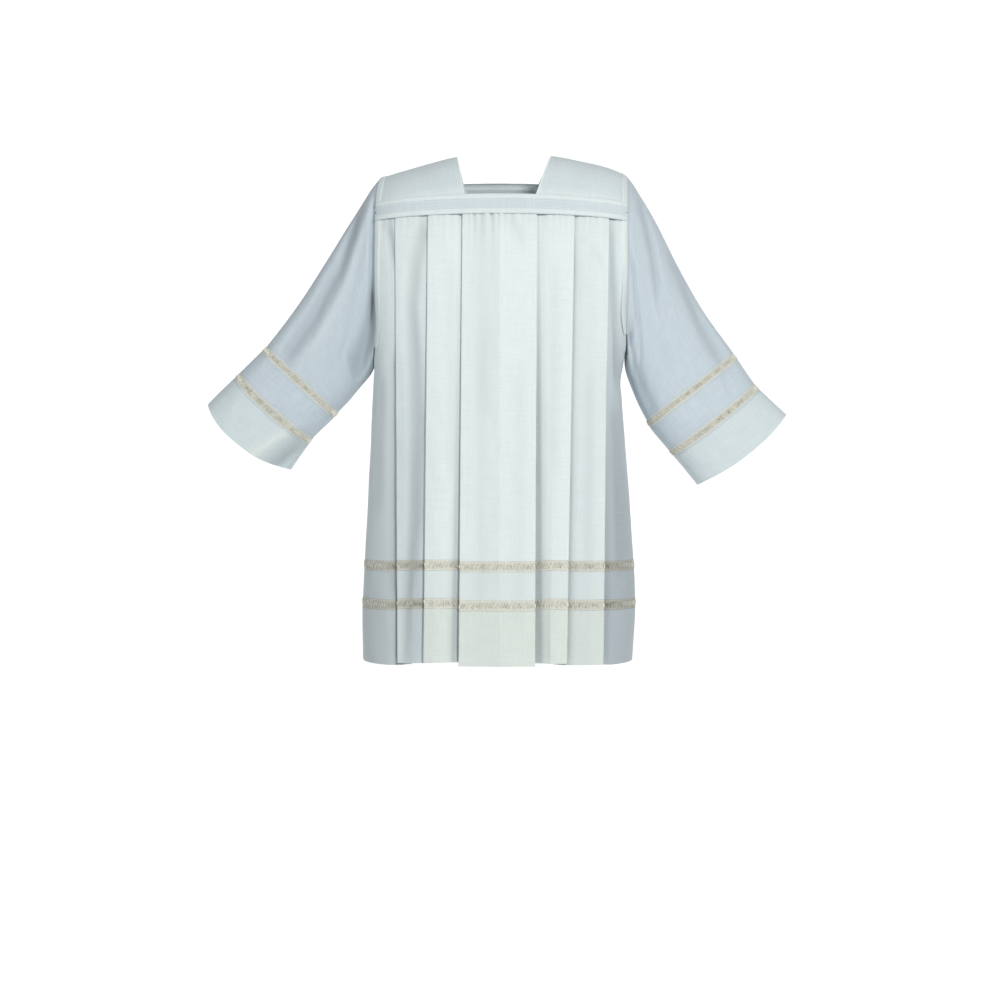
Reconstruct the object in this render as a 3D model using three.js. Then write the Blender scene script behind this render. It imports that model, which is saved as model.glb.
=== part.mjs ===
// A cotta, worn open and hollow: a pleated body under a square yoke, wide set-in sleeves, and two bands of
// openwork insertion round the body and round each sleeve above their doubled hems.
// Millimetres, +Z up. The origin is midway between the two shoulder-neck points, the front faces -Y and the
// wearer's left is +X. Every cloth piece is a wall of real thickness round the hollow where the wearer stands.
import * as THREE from 'three';

// Rows of numbers turned into rows of named values
const table = (columns, ...rows) => {
  const names = columns.split(' ');
  return rows.map((row) => Object.fromEntries(names.map((name, i) => [name, row[i]])));
};

// Thicknesses
const CLOTH = 1.6;
const DOUBLE_CLOTH = 2.4; // hems, cuffs and the stitched strip along the armhole
const TRIM = 2.0;
const NECK_EDGE = 2.6;
const SEAM_GAP = 0.3;
const SLEEVE_SEAM_GAP = 0.5; // along the top; the seams close up towards the underarm

// Body lengths, from the hem upwards
const HEM_LEVEL = -978;
const BODY_HEM = 103;
const INSERTION = 20;
const STRIP = 53;
const HEM_TOP = HEM_LEVEL + BODY_HEM;
const STRIP_BOTTOM = HEM_TOP + INSERTION;
const STRIP_TOP = STRIP_BOTTOM + STRIP;
const PANEL_BOTTOM = STRIP_TOP + INSERTION;
const CHEST_LEVEL = -140; // above it the cloth arches over the shoulder

// Sleeve lengths along the top of the sleeve, from the armhole outwards
const SLEEVE = 400;
const CUFF = 70;
const SLEEVE_STRIP_START = SLEEVE + INSERTION;
const SLEEVE_STRIP_END = SLEEVE_STRIP_START + STRIP;
const CUFF_START = SLEEVE_STRIP_END + INSERTION;
const CUFF_END = CUFF_START + CUFF;

const FRONT = -1;
const BACK = 1;

// The body's outline at each level: half widths to the wearer's left and right, depths to the front and back
const BODY_SECTIONS = [
  { z: -140, left: 254, right: 249, front: 118, back: 104, square: 4.6 },
  { z: -260, left: 252, right: 248, front: 124, back: 112, square: 4.4 },
  { z: -350, left: 246, right: 246, front: 127, back: 117, square: 4.0 },
  { z: -400, left: 240, right: 243, front: 129, back: 119, square: 3.8 },
  { z: -440, left: 234, right: 245, front: 130, back: 121, square: 3.7 },
  { z: -540, left: 241, right: 250, front: 134, back: 125, square: 3.5 },
  { z: -700, left: 252, right: 258, front: 140, back: 132, square: 3.2 },
  { z: -875, left: 261, right: 267, front: 148, back: 142, square: 2.9 },
  { z: -978, left: 255, right: 266, front: 152, back: 148, square: 2.8 },
];

// Height of the shoulder ridge across the wearer
const SHOULDER_RIDGE = [
  { x: -229, z: -41 },
  { x: -180, z: -26 },
  { x: -130, z: -12 },
  { x: -85, z: -1 },
  { x: 0, z: 4 },
  { x: 101, z: 1 },
  { x: 156, z: -9 },
  { x: 197, z: -18 },
  { x: 227, z: -28 },
  { x: 244, z: -37 },
];

// The armholes: x at the shoulder, level of the underarm, half depths and the height of the curve under the arm
const ARMHOLES = {
  left: { top: 244, under: -385 },
  right: { top: 229, under: -410 },
};
const ARMHOLE_DEPTH = { front: 85, back: 78 };
const ARMHOLE_CURVE = 95;
const ARMHOLE_ROUND = 2.2;
const ARMHOLE_STRIP = 8; // width of the stitched strip along the edge
const STRIP_STARTS = { below: 20, over: 40 }; // where it takes its full thickness, under the yoke seam

// The neck edge: x on the shoulder ridge and at the two yoke seams
const NECK = {
  left: { ridge: 101, front: 62, back: 68 },
  right: { ridge: 85, front: 64, back: 68 },
};
// The turn from shoulder to band is raised to this power, so that the neck edge is straight as seen from the front
const NECK_STRAIGHT = 1.8;
const NECK_ROLL = 7;
const NECK_ROLL_ENDS = { at: 0.55, over: 0.25 }; // shares of the way from the shoulder down to the band

// The yoke seams and the bands that cover them: level at the centre, drop towards the armhole, half heights
const YOKE = {
  front: { seam: -108, drop: 11.5, halfHeight: 19, endHalfHeight: 17.5 },
  back: { seam: -57, drop: 13, halfHeight: 19, endHalfHeight: 17.5 },
};
const YOKE_HALF_WIDTH = 240;
const BAND_EASE = 0.5;
const BAND_END = 1.5;
const BAND_PROFILE = [
  { down: 0, thick: 1.4 },
  { down: 0.05, thick: 2.8 },
  { down: 0.12, thick: 3.0 },
  { down: 0.19, thick: 1.8 },
  { down: 0.5, thick: 1.8 },
  { down: 0.81, thick: 1.8 },
  { down: 0.88, thick: 3.0 },
  { down: 0.95, thick: 2.8 },
  { down: 1, thick: 1.4 },
];
const BAND_STATIONS = [0, 0.3, 0.42, 0.52, 0.63, 0.73, 0.82, 0.88, 0.92, 0.955, 0.98, 1];

// Knife pleats, folded outwards from the centre box: x of the fold at the yoke and at the hem, how far it opens
// and how deep it hollows at the hem, and how much its outer neighbour is lifted there
const PLEATS = {
  front: {
    left: [
      { atYoke: 70, atHem: 65, open: 12, deep: 10, lift: 5 },
      { atYoke: 141, atHem: 125, open: 3, deep: 4, lift: 1 },
      { atYoke: 207, atHem: 195, open: 5, deep: 8, lift: 0 },
    ],
    right: [
      { atYoke: 71, atHem: 77, open: 14, deep: 10, lift: 7 },
      { atYoke: 136, atHem: 143, open: 5, deep: 6, lift: 5 },
      { atYoke: 199, atHem: 193, open: 4, deep: 6, lift: 0 },
    ],
  },
  back: {
    left: [
      { atYoke: 72, atHem: 71, open: 9, deep: 8, lift: 4 },
      { atYoke: 139, atHem: 134, open: 6, deep: 6, lift: 2 },
      { atYoke: 203, atHem: 197, open: 4, deep: 6, lift: 1 },
    ],
    right: [
      { atYoke: 70, atHem: 74, open: 10, deep: 9, lift: 5 },
      { atYoke: 137, atHem: 140, open: 4, deep: 5, lift: 3 },
      { atYoke: 197, atHem: 192, open: 6, deep: 7, lift: 1 },
    ],
  },
};
const PLEAT_LAP = 24;
const PLEAT_PITCH = { yoke: 2.4, hem: 3.2 }; // spacing of the layers of a fold
const PLEAT_STEP = { yoke: 4.8, hem: 6.4 }; // how far the next panel lies behind the fold
const PLEAT_OPEN_AT_YOKE = 2;
const CENTRE_CREASE = { width: 14, stands: 1.8, starts: 60 }; // its full height lies this far below the seam
const CORNER_LIFT = 4;

// Rows of the panels below the yoke seam, with the share of the right underarm's extra drop that each takes
const PANEL_ROWS = [
  { z: -110, drop: 0, backOnly: true },
  { z: -170, drop: 0.1 },
  { z: -290, drop: 0.8 },
  { z: -340, drop: 1 },
  { z: -371, drop: 1 },
  { z: -385, drop: 1 },
  { z: -430, drop: 0.6 },
  { z: -560, drop: 0 },
];

// The sleeves: the top and under lines in x and z, half depths, squareness of the section, how far the top and
// the under line lie towards the back, and how far the cloth between them bows out past a straight edge
const SLEEVE_COLUMN_NAMES = 'along topX topZ underX underZ front back square topBack underBack bow';
const SLEEVE_SECTIONS = {
  left: table(
    SLEEVE_COLUMN_NAMES,
    [0, 244, -37, 242, -385, 85, 78, 2.4, 0, 0, 0],
    [32, 262, -59, 243.5, -397, 82, 79, 2.4, 2, 0, 0],
    [100, 300, -119, 247, -420, 76, 80, 2.3, 10, 0, 0],
    [200, 347, -208, 259, -452, 70, 76, 2.3, 20, 4, 0],
    [300, 397, -295, 272, -482, 66, 72, 2.3, 26, 6, 0],
    [400, 456, -377, 286, -509, 63, 68, 2.3, 28, 8, 0],
    [420, 467, -393, 295, -527, 62, 67, 2.3, 28, 8, 0],
    [473, 497, -437, 329, -568, 60, 64, 2.3, 27, 8, 2],
    [493, 510, -452, 342, -583, 59, 62, 2.3, 26, 8, 4],
    [528, 535, -476, 362, -607, 57, 59, 2.3, 25, 7, 8],
    [563, 561, -500, 386, -637, 54, 56, 2.3, 24, 6, 12],
  ),
  right: table(
    SLEEVE_COLUMN_NAMES,
    [0, 229, -41, 243, -410, 85, 78, 2.4, 0, 0, 0],
    [32, 250, -66, 249, -417, 84, 80, 2.4, 0, 2, 0],
    [100, 286, -121, 261, -431, 82, 82, 2.6, 3, 8, 0],
    [200, 338, -205, 280, -451.5, 80, 82, 2.7, 5, 16, 0],
    [300, 391, -287, 298, -472, 78, 80, 2.8, 6, 24, 0],
    [400, 451, -366, 318, -492, 76, 79, 2.8, 6, 30, 0],
    [420, 465, -380, 330, -506, 75, 79, 2.8, 6, 31, 0],
    [473, 503, -417, 368, -543, 73, 78, 2.7, 6, 33, 4],
    [493, 517, -431, 379, -558, 72, 77, 2.7, 6, 33, 8],
    [528, 542, -455, 396, -582, 71, 76, 2.6, 5, 33, 14],
    [563, 567, -480, 413, -607, 70, 75, 2.6, 5, 32, 22],
  ),
};

// Long soft troughs of the sleeves, from one place to another: millimetres along the sleeve and share of its height
const FOLD_COLUMN_NAMES = 'face fromAlong fromHeight toAlong toHeight depth width';
const SLEEVE_FOLDS = {
  left: table(
    FOLD_COLUMN_NAMES,
    [FRONT, 95, 0.95, 215, 0.44, 9, 24],
    [FRONT, 12, 0.82, 34, 0.42, 5, 22],
    [FRONT, 60, 0.2, 250, 0.2, 6, 20],
    [BACK, 90, 0.9, 260, 0.5, 10, 26],
    [BACK, 30, 0.25, 220, 0.14, 8, 24],
  ),
  right: table(
    FOLD_COLUMN_NAMES,
    [FRONT, 96, 0.97, 360, 0.76, 8, 24],
    [FRONT, 100, 0.31, 35, 0.06, 9, 20],
    [FRONT, 15, 0.58, 190, 0.12, 5, 20],
    [BACK, 80, 0.86, 300, 0.62, 9, 26],
    [BACK, 40, 0.3, 250, 0.24, 8, 24],
  ),
};
const FOLD_END = 30; // a fold fades out over this length past each end
const FOLD_FREE_OF_SEAM = 20;
const SLEEVE_SHAPE_BLEND = 150; // the section turns from the armhole's shape into its own over this length
const SLEEVE_CLEARANCE = { seam: 1.8, underarm: 1.0, fades: 60 };
const SLEEVE_COLUMNS = 28;
const SLEEVE_ROWS = [0, 32, 65, 100, 150, 200, 250, 300, 350, SLEEVE];

const LINE_STEPS = 90; // fineness of the working line round the body
const SLOPE_STEP = 3;

const clamp = (value, low, high) => Math.min(high, Math.max(low, value));
const mix = (a, b, share) => a + (b - a) * share;
const ease = (share) => {
  const t = clamp(share, 0, 1);
  return t * t * (3 - 2 * t);
};
const faceName = (face) => (face === FRONT ? 'front' : 'back');
const sideName = (x) => (x < 0 ? 'right' : 'left');

// A column of a table at a place along its key, on a smooth curve through the rows
function valueAt(rows, key, at, name) {
  const last = rows.length - 1;
  const upward = Math.sign(rows[last][key] - rows[0][key]);
  if (upward * (at - rows[0][key]) <= 0) return rows[0][name];
  if (upward * (at - rows[last][key]) >= 0) return rows[last][name];
  const next = rows.findIndex((row) => upward * (row[key] - at) > 0);
  const slope = (i) => {
    const before = rows[Math.max(0, i - 1)];
    const after = rows[Math.min(last, i + 1)];
    return (after[name] - before[name]) / (after[key] - before[key]);
  };
  const start = rows[next - 1];
  const end = rows[next];
  const gap = end[key] - start[key];
  const t = (at - start[key]) / gap;
  return (
    start[name] * (1 + 2 * t) * (1 - t) ** 2 +
    slope(next - 1) * gap * t * (1 - t) ** 2 +
    end[name] * t * t * (3 - 2 * t) +
    slope(next) * gap * t * t * (t - 1)
  );
}

const ridgeAt = (x) => valueAt(SHOULDER_RIDGE, 'x', x, 'z');
const bodyValue = (z, name) => valueAt(BODY_SECTIONS, 'z', Math.min(z, CHEST_LEVEL), name);
const seamLevel = (face, x) => {
  const yoke = YOKE[faceName(face)];
  return yoke.seam - yoke.drop * (x / YOKE_HALF_WIDTH) ** 2;
};

// How far round the shoulder arch a level lies: 0 on the ridge, a quarter turn at the chest
function archAngle(x, z) {
  const ridge = ridgeAt(x);
  return Math.acos(clamp(1 - (ridge - z) / (ridge - CHEST_LEVEL), 0, 1));
}

// Distance of the body's middle surface from the plane of the shoulders
function depthAt(face, x, z) {
  const square = bodyValue(z, 'square');
  const across = clamp(Math.abs(x) / bodyValue(z, sideName(x)), 0, 1);
  const depth = bodyValue(z, faceName(face)) * (1 - across ** square) ** (1 / square);
  return z > CHEST_LEVEL ? depth * Math.sin(archAngle(x, z)) : depth;
}

// Half depth of the armhole at a level, down to nothing at the underarm
function armholeDepth(face, side, z) {
  const curveTop = ARMHOLES[side].under + ARMHOLE_CURVE;
  const down = clamp((curveTop - z) / ARMHOLE_CURVE, 0, 1);
  return ARMHOLE_DEPTH[faceName(face)] * (1 - down ** ARMHOLE_ROUND) ** (1 / ARMHOLE_ROUND);
}

// The body's edge at a level: the armhole above the underarm and the side seam below it
function bodyEdge(face, side, z) {
  const half = (level) => {
    const square = bodyValue(level, 'square');
    const share = armholeDepth(face, side, level) / bodyValue(level, faceName(face));
    return bodyValue(level, side) * (1 - share ** square) ** (1 / square);
  };
  if (z <= CHEST_LEVEL) return half(z);
  const sign = side === 'left' ? 1 : -1;
  const top = ARMHOLES[side].top;
  let x = top;
  for (let round = 0; round < 4; round += 1) {
    x = mix(half(CHEST_LEVEL), top, Math.cos(archAngle(sign * x, z)) ** 2);
  }
  return x;
}

// The body's middle line on one side at a level, from the centre to its edge, measured along the cloth
function bodyLine(face, side, levelAt) {
  const sign = side === 'left' ? 1 : -1;
  const edgeLevel = levelAt(sign * YOKE_HALF_WIDTH);
  const half = bodyValue(edgeLevel, side);
  const square = bodyValue(edgeLevel, 'square');
  const edge = bodyEdge(face, side, edgeLevel);
  const lastAngle = Math.asin(clamp((edge / half) ** (square / 2), 0, 1));
  const points = [];
  for (let i = 0; i <= LINE_STEPS; i += 1) {
    const x = half * Math.sin((lastAngle * i) / LINE_STEPS) ** (2 / square);
    const y = depthAt(face, sign * x, levelAt(sign * x));
    points.push({ x, y: Math.max(y, SEAM_GAP / 2), along: 0 });
  }
  for (let i = 1; i <= LINE_STEPS; i += 1) {
    const step = Math.hypot(points[i].x - points[i - 1].x, points[i].y - points[i - 1].y);
    points[i].along = points[i - 1].along + step;
  }
  const length = points[LINE_STEPS].along;
  const find = (key, value) => {
    const next = clamp(points.findIndex((p) => p[key] >= value), 1, LINE_STEPS);
    const a = points[next - 1];
    const b = points[next];
    const share = clamp((value - a[key]) / Math.max(b[key] - a[key], 1e-9), 0, 1);
    return { x: mix(a.x, b.x, share), y: mix(a.y, b.y, share), along: mix(a.along, b.along, share) };
  };
  const place = (along, out) => {
    const here = find('along', clamp(along, 0, length));
    const before = find('along', clamp(along - SLOPE_STEP, 0, length));
    const after = find('along', clamp(along + SLOPE_STEP, 0, length));
    const run = Math.hypot(after.x - before.x, after.y - before.y);
    const normal = { x: (before.y - after.y) / run, y: (after.x - before.x) / run };
    return { x: sign * (here.x + normal.x * out), y: face * (here.y + normal.y * out) };
  };
  return { length, place, alongAt: (x) => find('x', x).along };
}

// One side of a row of the body: its points from the centre crease out to the edge, through every pleat
function halfRow(face, side, levelAt, thickness) {
  const sign = side === 'left' ? 1 : -1;
  const line = bodyLine(face, side, levelAt);
  const seam = YOKE[faceName(face)].seam;
  const level = levelAt(0);
  const fall = clamp((seam - level) / (seam - HEM_LEVEL), 0, 1);
  const lifted = clamp((ARMHOLES[side].under - level) / (ARMHOLES[side].under - HEM_LEVEL), 0, 1) ** 2;
  const pitch = mix(PLEAT_PITCH.yoke, PLEAT_PITCH.hem, fall);
  const step = mix(PLEAT_STEP.yoke, PLEAT_STEP.hem, fall);
  const points = [];
  const add = (along, out, lift, thick = thickness) => {
    const at = line.place(along, out);
    points.push({ x: at.x, y: at.y, z: levelAt(at.x) + lift * lifted, thick });
  };
  add(0, CENTRE_CREASE.stands * (1 - fall) * clamp((seam - level) / CENTRE_CREASE.starts, 0, 1), 0);
  add(CENTRE_CREASE.width, 0, 0);
  let lift = 0;
  let reached = 0;
  for (const pleat of PLEATS[faceName(face)][side]) {
    const fold = line.alongAt(mix(pleat.atYoke, pleat.atHem, fall));
    const deep = pleat.deep * fall;
    const middle = mix(lift, pleat.lift, 0.5);
    reached = fold + mix(PLEAT_OPEN_AT_YOKE, pleat.open, fall);
    add(fold - PLEAT_LAP - 3, 0, lift);
    add(fold, 0, lift);
    add(fold, -pitch, lift);
    add(fold - PLEAT_LAP, -pitch - deep, middle);
    add(fold - PLEAT_LAP, -2 * pitch - deep, middle);
    add(fold, -2 * pitch - deep, pleat.lift);
    add(reached, -step, pleat.lift);
    lift = pleat.lift;
  }
  const edgeLevel = levelAt(sign * YOKE_HALF_WIDTH);
  const hasArmhole = edgeLevel > ARMHOLES[side].under + 1;
  const stripShare = hasArmhole ? ease((seam - STRIP_STARTS.below - level) / STRIP_STARTS.over) : 0;
  const edgeThickness = mix(thickness, Math.max(thickness, DOUBLE_CLOTH), stripShare);
  const plainEnd = line.length - ARMHOLE_STRIP - 1;
  for (const share of [0.25, 0.5, 0.75, 1]) {
    add(mix(reached, plainEnd, share), -step * (1 - ease(share)), mix(lift, CORNER_LIFT, share));
  }
  add(line.length - ARMHOLE_STRIP, 0, CORNER_LIFT, edgeThickness);
  add(line.length, 0, CORNER_LIFT, edgeThickness);
  const edge = points[points.length - 1];
  if (!hasArmhole) edge.normal = { x: sign, y: 0 };
  return points;
}

// The two faces of a row of cloth, half its thickness to each side of its middle line
function offsetRow(face, middle) {
  const normals = middle.slice(1).map((point, i) => {
    const run = Math.hypot(point.x - middle[i].x, point.y - middle[i].y);
    return { x: (-face * (point.y - middle[i].y)) / run, y: (face * (point.x - middle[i].x)) / run };
  });
  const outer = [];
  const inner = [];
  middle.forEach((point, i) => {
    const before = normals[Math.max(0, i - 1)];
    const after = normals[Math.min(normals.length - 1, i)];
    const sum = point.normal ?? { x: before.x + after.x, y: before.y + after.y };
    const size = Math.hypot(sum.x, sum.y);
    const unit = { x: sum.x / size, y: sum.y / size };
    const reach = point.thick / 2 / (point.normal ? 1 : unit.x * before.x + unit.y * before.y);
    outer.push(new THREE.Vector3(point.x + unit.x * reach, point.y + unit.y * reach, point.z));
    inner.push(new THREE.Vector3(point.x - unit.x * reach, point.y - unit.y * reach, point.z));
  });
  return { outer, inner };
}

// A closed wall between an outer and an inner grid of points; a tube's columns close on themselves
function wallGeometry(outer, inner, isTube) {
  const rows = outer.length;
  const columns = outer[0].length;
  const positions = [...outer.flat(), ...inner.flat()].flatMap((point) => [point.x, point.y, point.z]);
  const out = (row, column) => row * columns + (column % columns);
  const into = (row, column) => rows * columns + out(row, column);
  const index = [];
  const quad = (a, b, c, d) => index.push(a, b, c, a, c, d);
  const spans = isTube ? columns : columns - 1;
  for (let c = 0; c < spans; c += 1) {
    for (let r = 0; r < rows - 1; r += 1) {
      quad(out(r, c), out(r + 1, c), out(r + 1, c + 1), out(r, c + 1));
      quad(into(r + 1, c + 1), into(r + 1, c), into(r, c), into(r, c + 1));
    }
    quad(out(0, c), out(0, c + 1), into(0, c + 1), into(0, c));
    quad(out(rows - 1, c + 1), out(rows - 1, c), into(rows - 1, c), into(rows - 1, c + 1));
  }
  if (!isTube) {
    for (let r = 0; r < rows - 1; r += 1) {
      quad(out(r + 1, 0), out(r, 0), into(r, 0), into(r + 1, 0));
      quad(out(r, spans), out(r + 1, spans), into(r + 1, spans), into(r, spans));
    }
  }
  const geometry = new THREE.BufferGeometry();
  geometry.setAttribute('position', new THREE.Float32BufferAttribute(positions, 3));
  geometry.setIndex(facingOut(positions, index));
  geometry.computeVertexNormals();
  return geometry;
}

// The faces turned so that the wall's volume is positive
function facingOut(positions, index) {
  const corner = (i) => new THREE.Vector3().fromArray(positions, index[i] * 3);
  let volume = 0;
  for (let i = 0; i < index.length; i += 3) {
    volume += corner(i).dot(corner(i + 1).cross(corner(i + 2)));
  }
  return volume > 0 ? index : index.reverse();
}

// A piece of the body between rows, each row a function of x that gives its level
function bodyWall(face, rows, thickness) {
  const faces = rows.map((levelAt) => {
    const left = halfRow(face, 'left', levelAt, thickness);
    const right = halfRow(face, 'right', levelAt, thickness).slice(1).reverse();
    return offsetRow(face, [...right, ...left]);
  });
  return wallGeometry(faces.map((row) => row.outer), faces.map((row) => row.inner), false);
}

// A pleated panel, from its yoke seam down to the upper insertion
function panelWall(face) {
  const extraDrop = ARMHOLES.right.under - ARMHOLES.left.under;
  const seam = (x) => seamLevel(face, x) - SEAM_GAP / 2;
  const rows = PANEL_ROWS.filter((row) => face === BACK || !row.backOnly).map((row) => (x) => {
    const share = x < 0 ? clamp(-x / YOKE_HALF_WIDTH, 0, 1) ** 2 : 0;
    return row.z + row.drop * extraDrop * share;
  });
  return bodyWall(face, [seam, ...rows, () => PANEL_BOTTOM + SEAM_GAP / 2], CLOTH);
}

// A straight piece round one face of the body between two levels
function bodyBandWall(face, top, bottom, thickness, steps) {
  const rows = [];
  for (let i = 0; i <= steps; i += 1) {
    const level = mix(top - SEAM_GAP / 2, bottom + SEAM_GAP / 2, i / steps);
    rows.push(() => level);
  }
  return bodyWall(face, rows, thickness);
}

// A point on the shoulder arch and the direction out of the cloth there
function archPoint(face, x, z) {
  return new THREE.Vector3(x, face * depthAt(face, x, z), z);
}
function archPointAtAngle(face, x, angle) {
  const ridge = ridgeAt(x);
  return archPoint(face, x, ridge - (ridge - CHEST_LEVEL) * (1 - Math.cos(angle)));
}

// A shoulder piece of the yoke: columns from the neck edge to the armhole, rows from the back seam to the front
function shoulderWall(side) {
  const sign = side === 'left' ? 1 : -1;
  const neck = NECK[side];
  const seamRise = SEAM_GAP / 2;
  const columns = [0, 1, 2, 3, 4, 5, 6];
  const plainColumns = columns.length - 3;
  const middle = [];
  const ROWS_EACH_WAY = 7;
  for (let i = -ROWS_EACH_WAY; i <= ROWS_EACH_WAY; i += 1) {
    const face = i > 0 ? FRONT : BACK;
    const turn = Math.abs(i) / ROWS_EACH_WAY;
    const seamAngle = (x) => archAngle(x, seamLevel(face, x) + seamRise);
    const neckX = mix(neck.ridge, neck[faceName(face)], turn ** NECK_STRAIGHT);
    const edgeFoot = bodyEdge(face, side, seamLevel(face, sign * YOKE_HALF_WIDTH));
    const edgeChest = bodyEdge(face, side, CHEST_LEVEL);
    const angle = turn * seamAngle(sign * edgeFoot);
    const edgeX = mix(edgeChest, ARMHOLES[side].top, Math.cos(angle) ** 2);
    middle.push(
      columns.map((column) => {
        const roll = [0, NECK_ROLL, NECK_ROLL + 1.5][column];
        const x = sign * (roll === undefined ? mix(neckX, edgeX, (column - 2) / plainColumns) : neckX + roll);
        const point = archPointAtAngle(face, x, turn * seamAngle(x));
        const rolled = column < 2 ? 1 - ease((turn - NECK_ROLL_ENDS.at) / NECK_ROLL_ENDS.over) : 0;
        return { point, thick: mix(CLOTH, NECK_EDGE, rolled), isSeam: turn === 1 };
      }),
    );
  }
  const outer = [];
  const inner = [];
  middle.forEach((row, r) => {
    outer.push([]);
    inner.push([]);
    row.forEach(({ point, thick, isSeam }, c) => {
      const across = row[Math.min(c + 1, row.length - 1)].point.clone().sub(row[Math.max(c - 1, 0)].point);
      const before = middle[Math.max(r - 1, 0)][c].point;
      const down = middle[Math.min(r + 1, middle.length - 1)][c].point.clone().sub(before);
      const normal = down.cross(across).multiplyScalar(sign);
      if (isSeam) normal.z = 0;
      normal.setLength(thick / 2);
      outer[r].push(point.clone().add(normal));
      inner[r].push(point.clone().sub(normal));
    });
  });
  return wallGeometry(outer, inner, false);
}

// A yoke band over its seam, from armhole to armhole, with a raised ridge along each long edge
function yokeBandWall(face) {
  const yoke = YOKE[faceName(face)];
  const rest = CLOTH / 2 + SEAM_GAP + BAND_EASE;
  const stations = [...BAND_STATIONS.slice(1).map((share) => -share).reverse(), ...BAND_STATIONS];
  const outer = [];
  const inner = [];
  for (const station of stations) {
    const side = sideName(station);
    outer.push([]);
    inner.push([]);
    for (const { down, thick } of BAND_PROFILE) {
      const halfHeight = mix(yoke.halfHeight, yoke.endHalfHeight, station ** 2);
      const level = (x) => seamLevel(face, x) + halfHeight * (1 - 2 * down);
      const edge = bodyEdge(face, side, level(YOKE_HALF_WIDTH)) - BAND_END;
      const x = station * edge;
      const z = level(x);
      const across = archPoint(face, x + 1, z).sub(archPoint(face, x - 1, z));
      const upward = archPoint(face, x, z + 1).sub(archPoint(face, x, z - 1));
      const normal = across.cross(upward).multiplyScalar(-face).normalize();
      const foot = archPoint(face, x, z);
      inner[inner.length - 1].push(foot.clone().addScaledVector(normal, rest));
      outer[outer.length - 1].push(foot.clone().addScaledVector(normal, rest + thick));
    }
  }
  return wallGeometry(outer, inner, false);
}

// How deep the soft folds are at a place of a sleeve
function foldDepth(side, face, along, height, tall) {
  return SLEEVE_FOLDS[side].filter((fold) => fold.face === face).reduce((sum, fold) => {
    const run = { along: fold.toAlong - fold.fromAlong, up: (fold.toHeight - fold.fromHeight) * tall };
    const from = { along: along - fold.fromAlong, up: (height - fold.fromHeight) * tall };
    const length = Math.hypot(run.along, run.up);
    const onto = (from.along * run.along + from.up * run.up) / length;
    const aside = Math.abs(from.along * run.up - from.up * run.along) / length;
    const past = Math.max(0, -onto, onto - length);
    return sum + fold.depth * Math.exp(-((aside / fold.width) ** 2)) * (1 - ease(past / FOLD_END));
  }, 0);
}

// A point of a sleeve's middle surface; the turn runs from the top over the front, the underarm and the back
function sleevePoint(side, along, turn) {
  const sign = side === 'left' ? 1 : -1;
  const value = (name) => valueAt(SLEEVE_SECTIONS[side], 'along', along, name);
  const armhole = SLEEVE_SECTIONS[side][0];
  const face = Math.sin(turn) >= 0 ? FRONT : BACK;
  const height = (1 + Math.cos(turn)) / 2;
  const square = value('square');
  const ownDepth = (1 - Math.abs(2 * height - 1) ** square) ** (1 / square);
  const armholeLevel = mix(armhole.underZ, armhole.topZ, height);
  const armholeX = bodyEdge(face, side, armholeLevel);
  const armholeShare = depthAt(face, sign * armholeX, armholeLevel) / ARMHOLE_DEPTH[faceName(face)];
  const blend = ease(along / SLEEVE_SHAPE_BLEND);
  const aside = (armholeX - mix(armhole.underX, armhole.topX, height)) * (1 - blend);
  const clearance =
    (SLEEVE_CLEARANCE.seam + SLEEVE_CLEARANCE.underarm * (1 - height) ** 4) *
    (1 - ease(along / SLEEVE_CLEARANCE.fades));
  const depth = mix(armholeShare, ownDepth, blend);
  const wide = value('topX') - value('underX');
  const high = value('topZ') - value('underZ');
  const tall = Math.hypot(wide, high);
  const bow = (value('bow') * depth ** 2) / tall;
  const fold = foldDepth(side, face, along, height, tall) * depth * ease(along / FOLD_FREE_OF_SEAM);
  const back = value('topBack') * ease(height) + value('underBack') * ease(1 - height);
  return new THREE.Vector3(
    sign * (mix(value('underX'), value('topX'), height) + aside + clearance + bow * high),
    face * (value(faceName(face)) * depth - fold) + back,
    mix(value('underZ'), value('topZ'), height) - bow * wide,
  );
}

// A tube of sleeve cloth through rings at the given places along it
function sleeveWall(side, places, thickness) {
  const outer = [];
  const inner = [];
  const SMALL_TURN = 0.05;
  for (const along of places) {
    outer.push([]);
    inner.push([]);
    for (let column = 0; column < SLEEVE_COLUMNS; column += 1) {
      const turn = (2 * Math.PI * column) / SLEEVE_COLUMNS;
      const point = sleevePoint(side, along, turn);
      const round = sleevePoint(side, along, turn + SMALL_TURN).sub(sleevePoint(side, along, turn - SMALL_TURN));
      const onward = sleevePoint(side, Math.min(along + 1, CUFF_END), turn);
      onward.sub(sleevePoint(side, Math.max(along - 1, 0), turn));
      const normal = onward.cross(round).multiplyScalar(side === 'left' ? 1 : -1).setLength(thickness / 2);
      outer[outer.length - 1].push(point.clone().add(normal));
      inner[inner.length - 1].push(point.clone().sub(normal));
    }
  }
  return wallGeometry(outer, inner, true);
}

const FINISHES = {
  cloth: { color: 0xe6ebee, roughness: 0.85, metalness: 0 },
  doubled: { color: 0xf2f4f4, roughness: 0.85, metalness: 0 },
  yoke: { color: 0xf0f3f4, roughness: 0.85, metalness: 0 },
  insertion: { color: 0xd8cfb4, roughness: 0.55, metalness: 0.2 },
};

const cotta = new THREE.Group();

function addPiece(name, geometry, finish) {
  const mesh = new THREE.Mesh(geometry, new THREE.MeshStandardMaterial(FINISHES[finish]));
  mesh.name = name;
  cotta.add(mesh);
}

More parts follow.
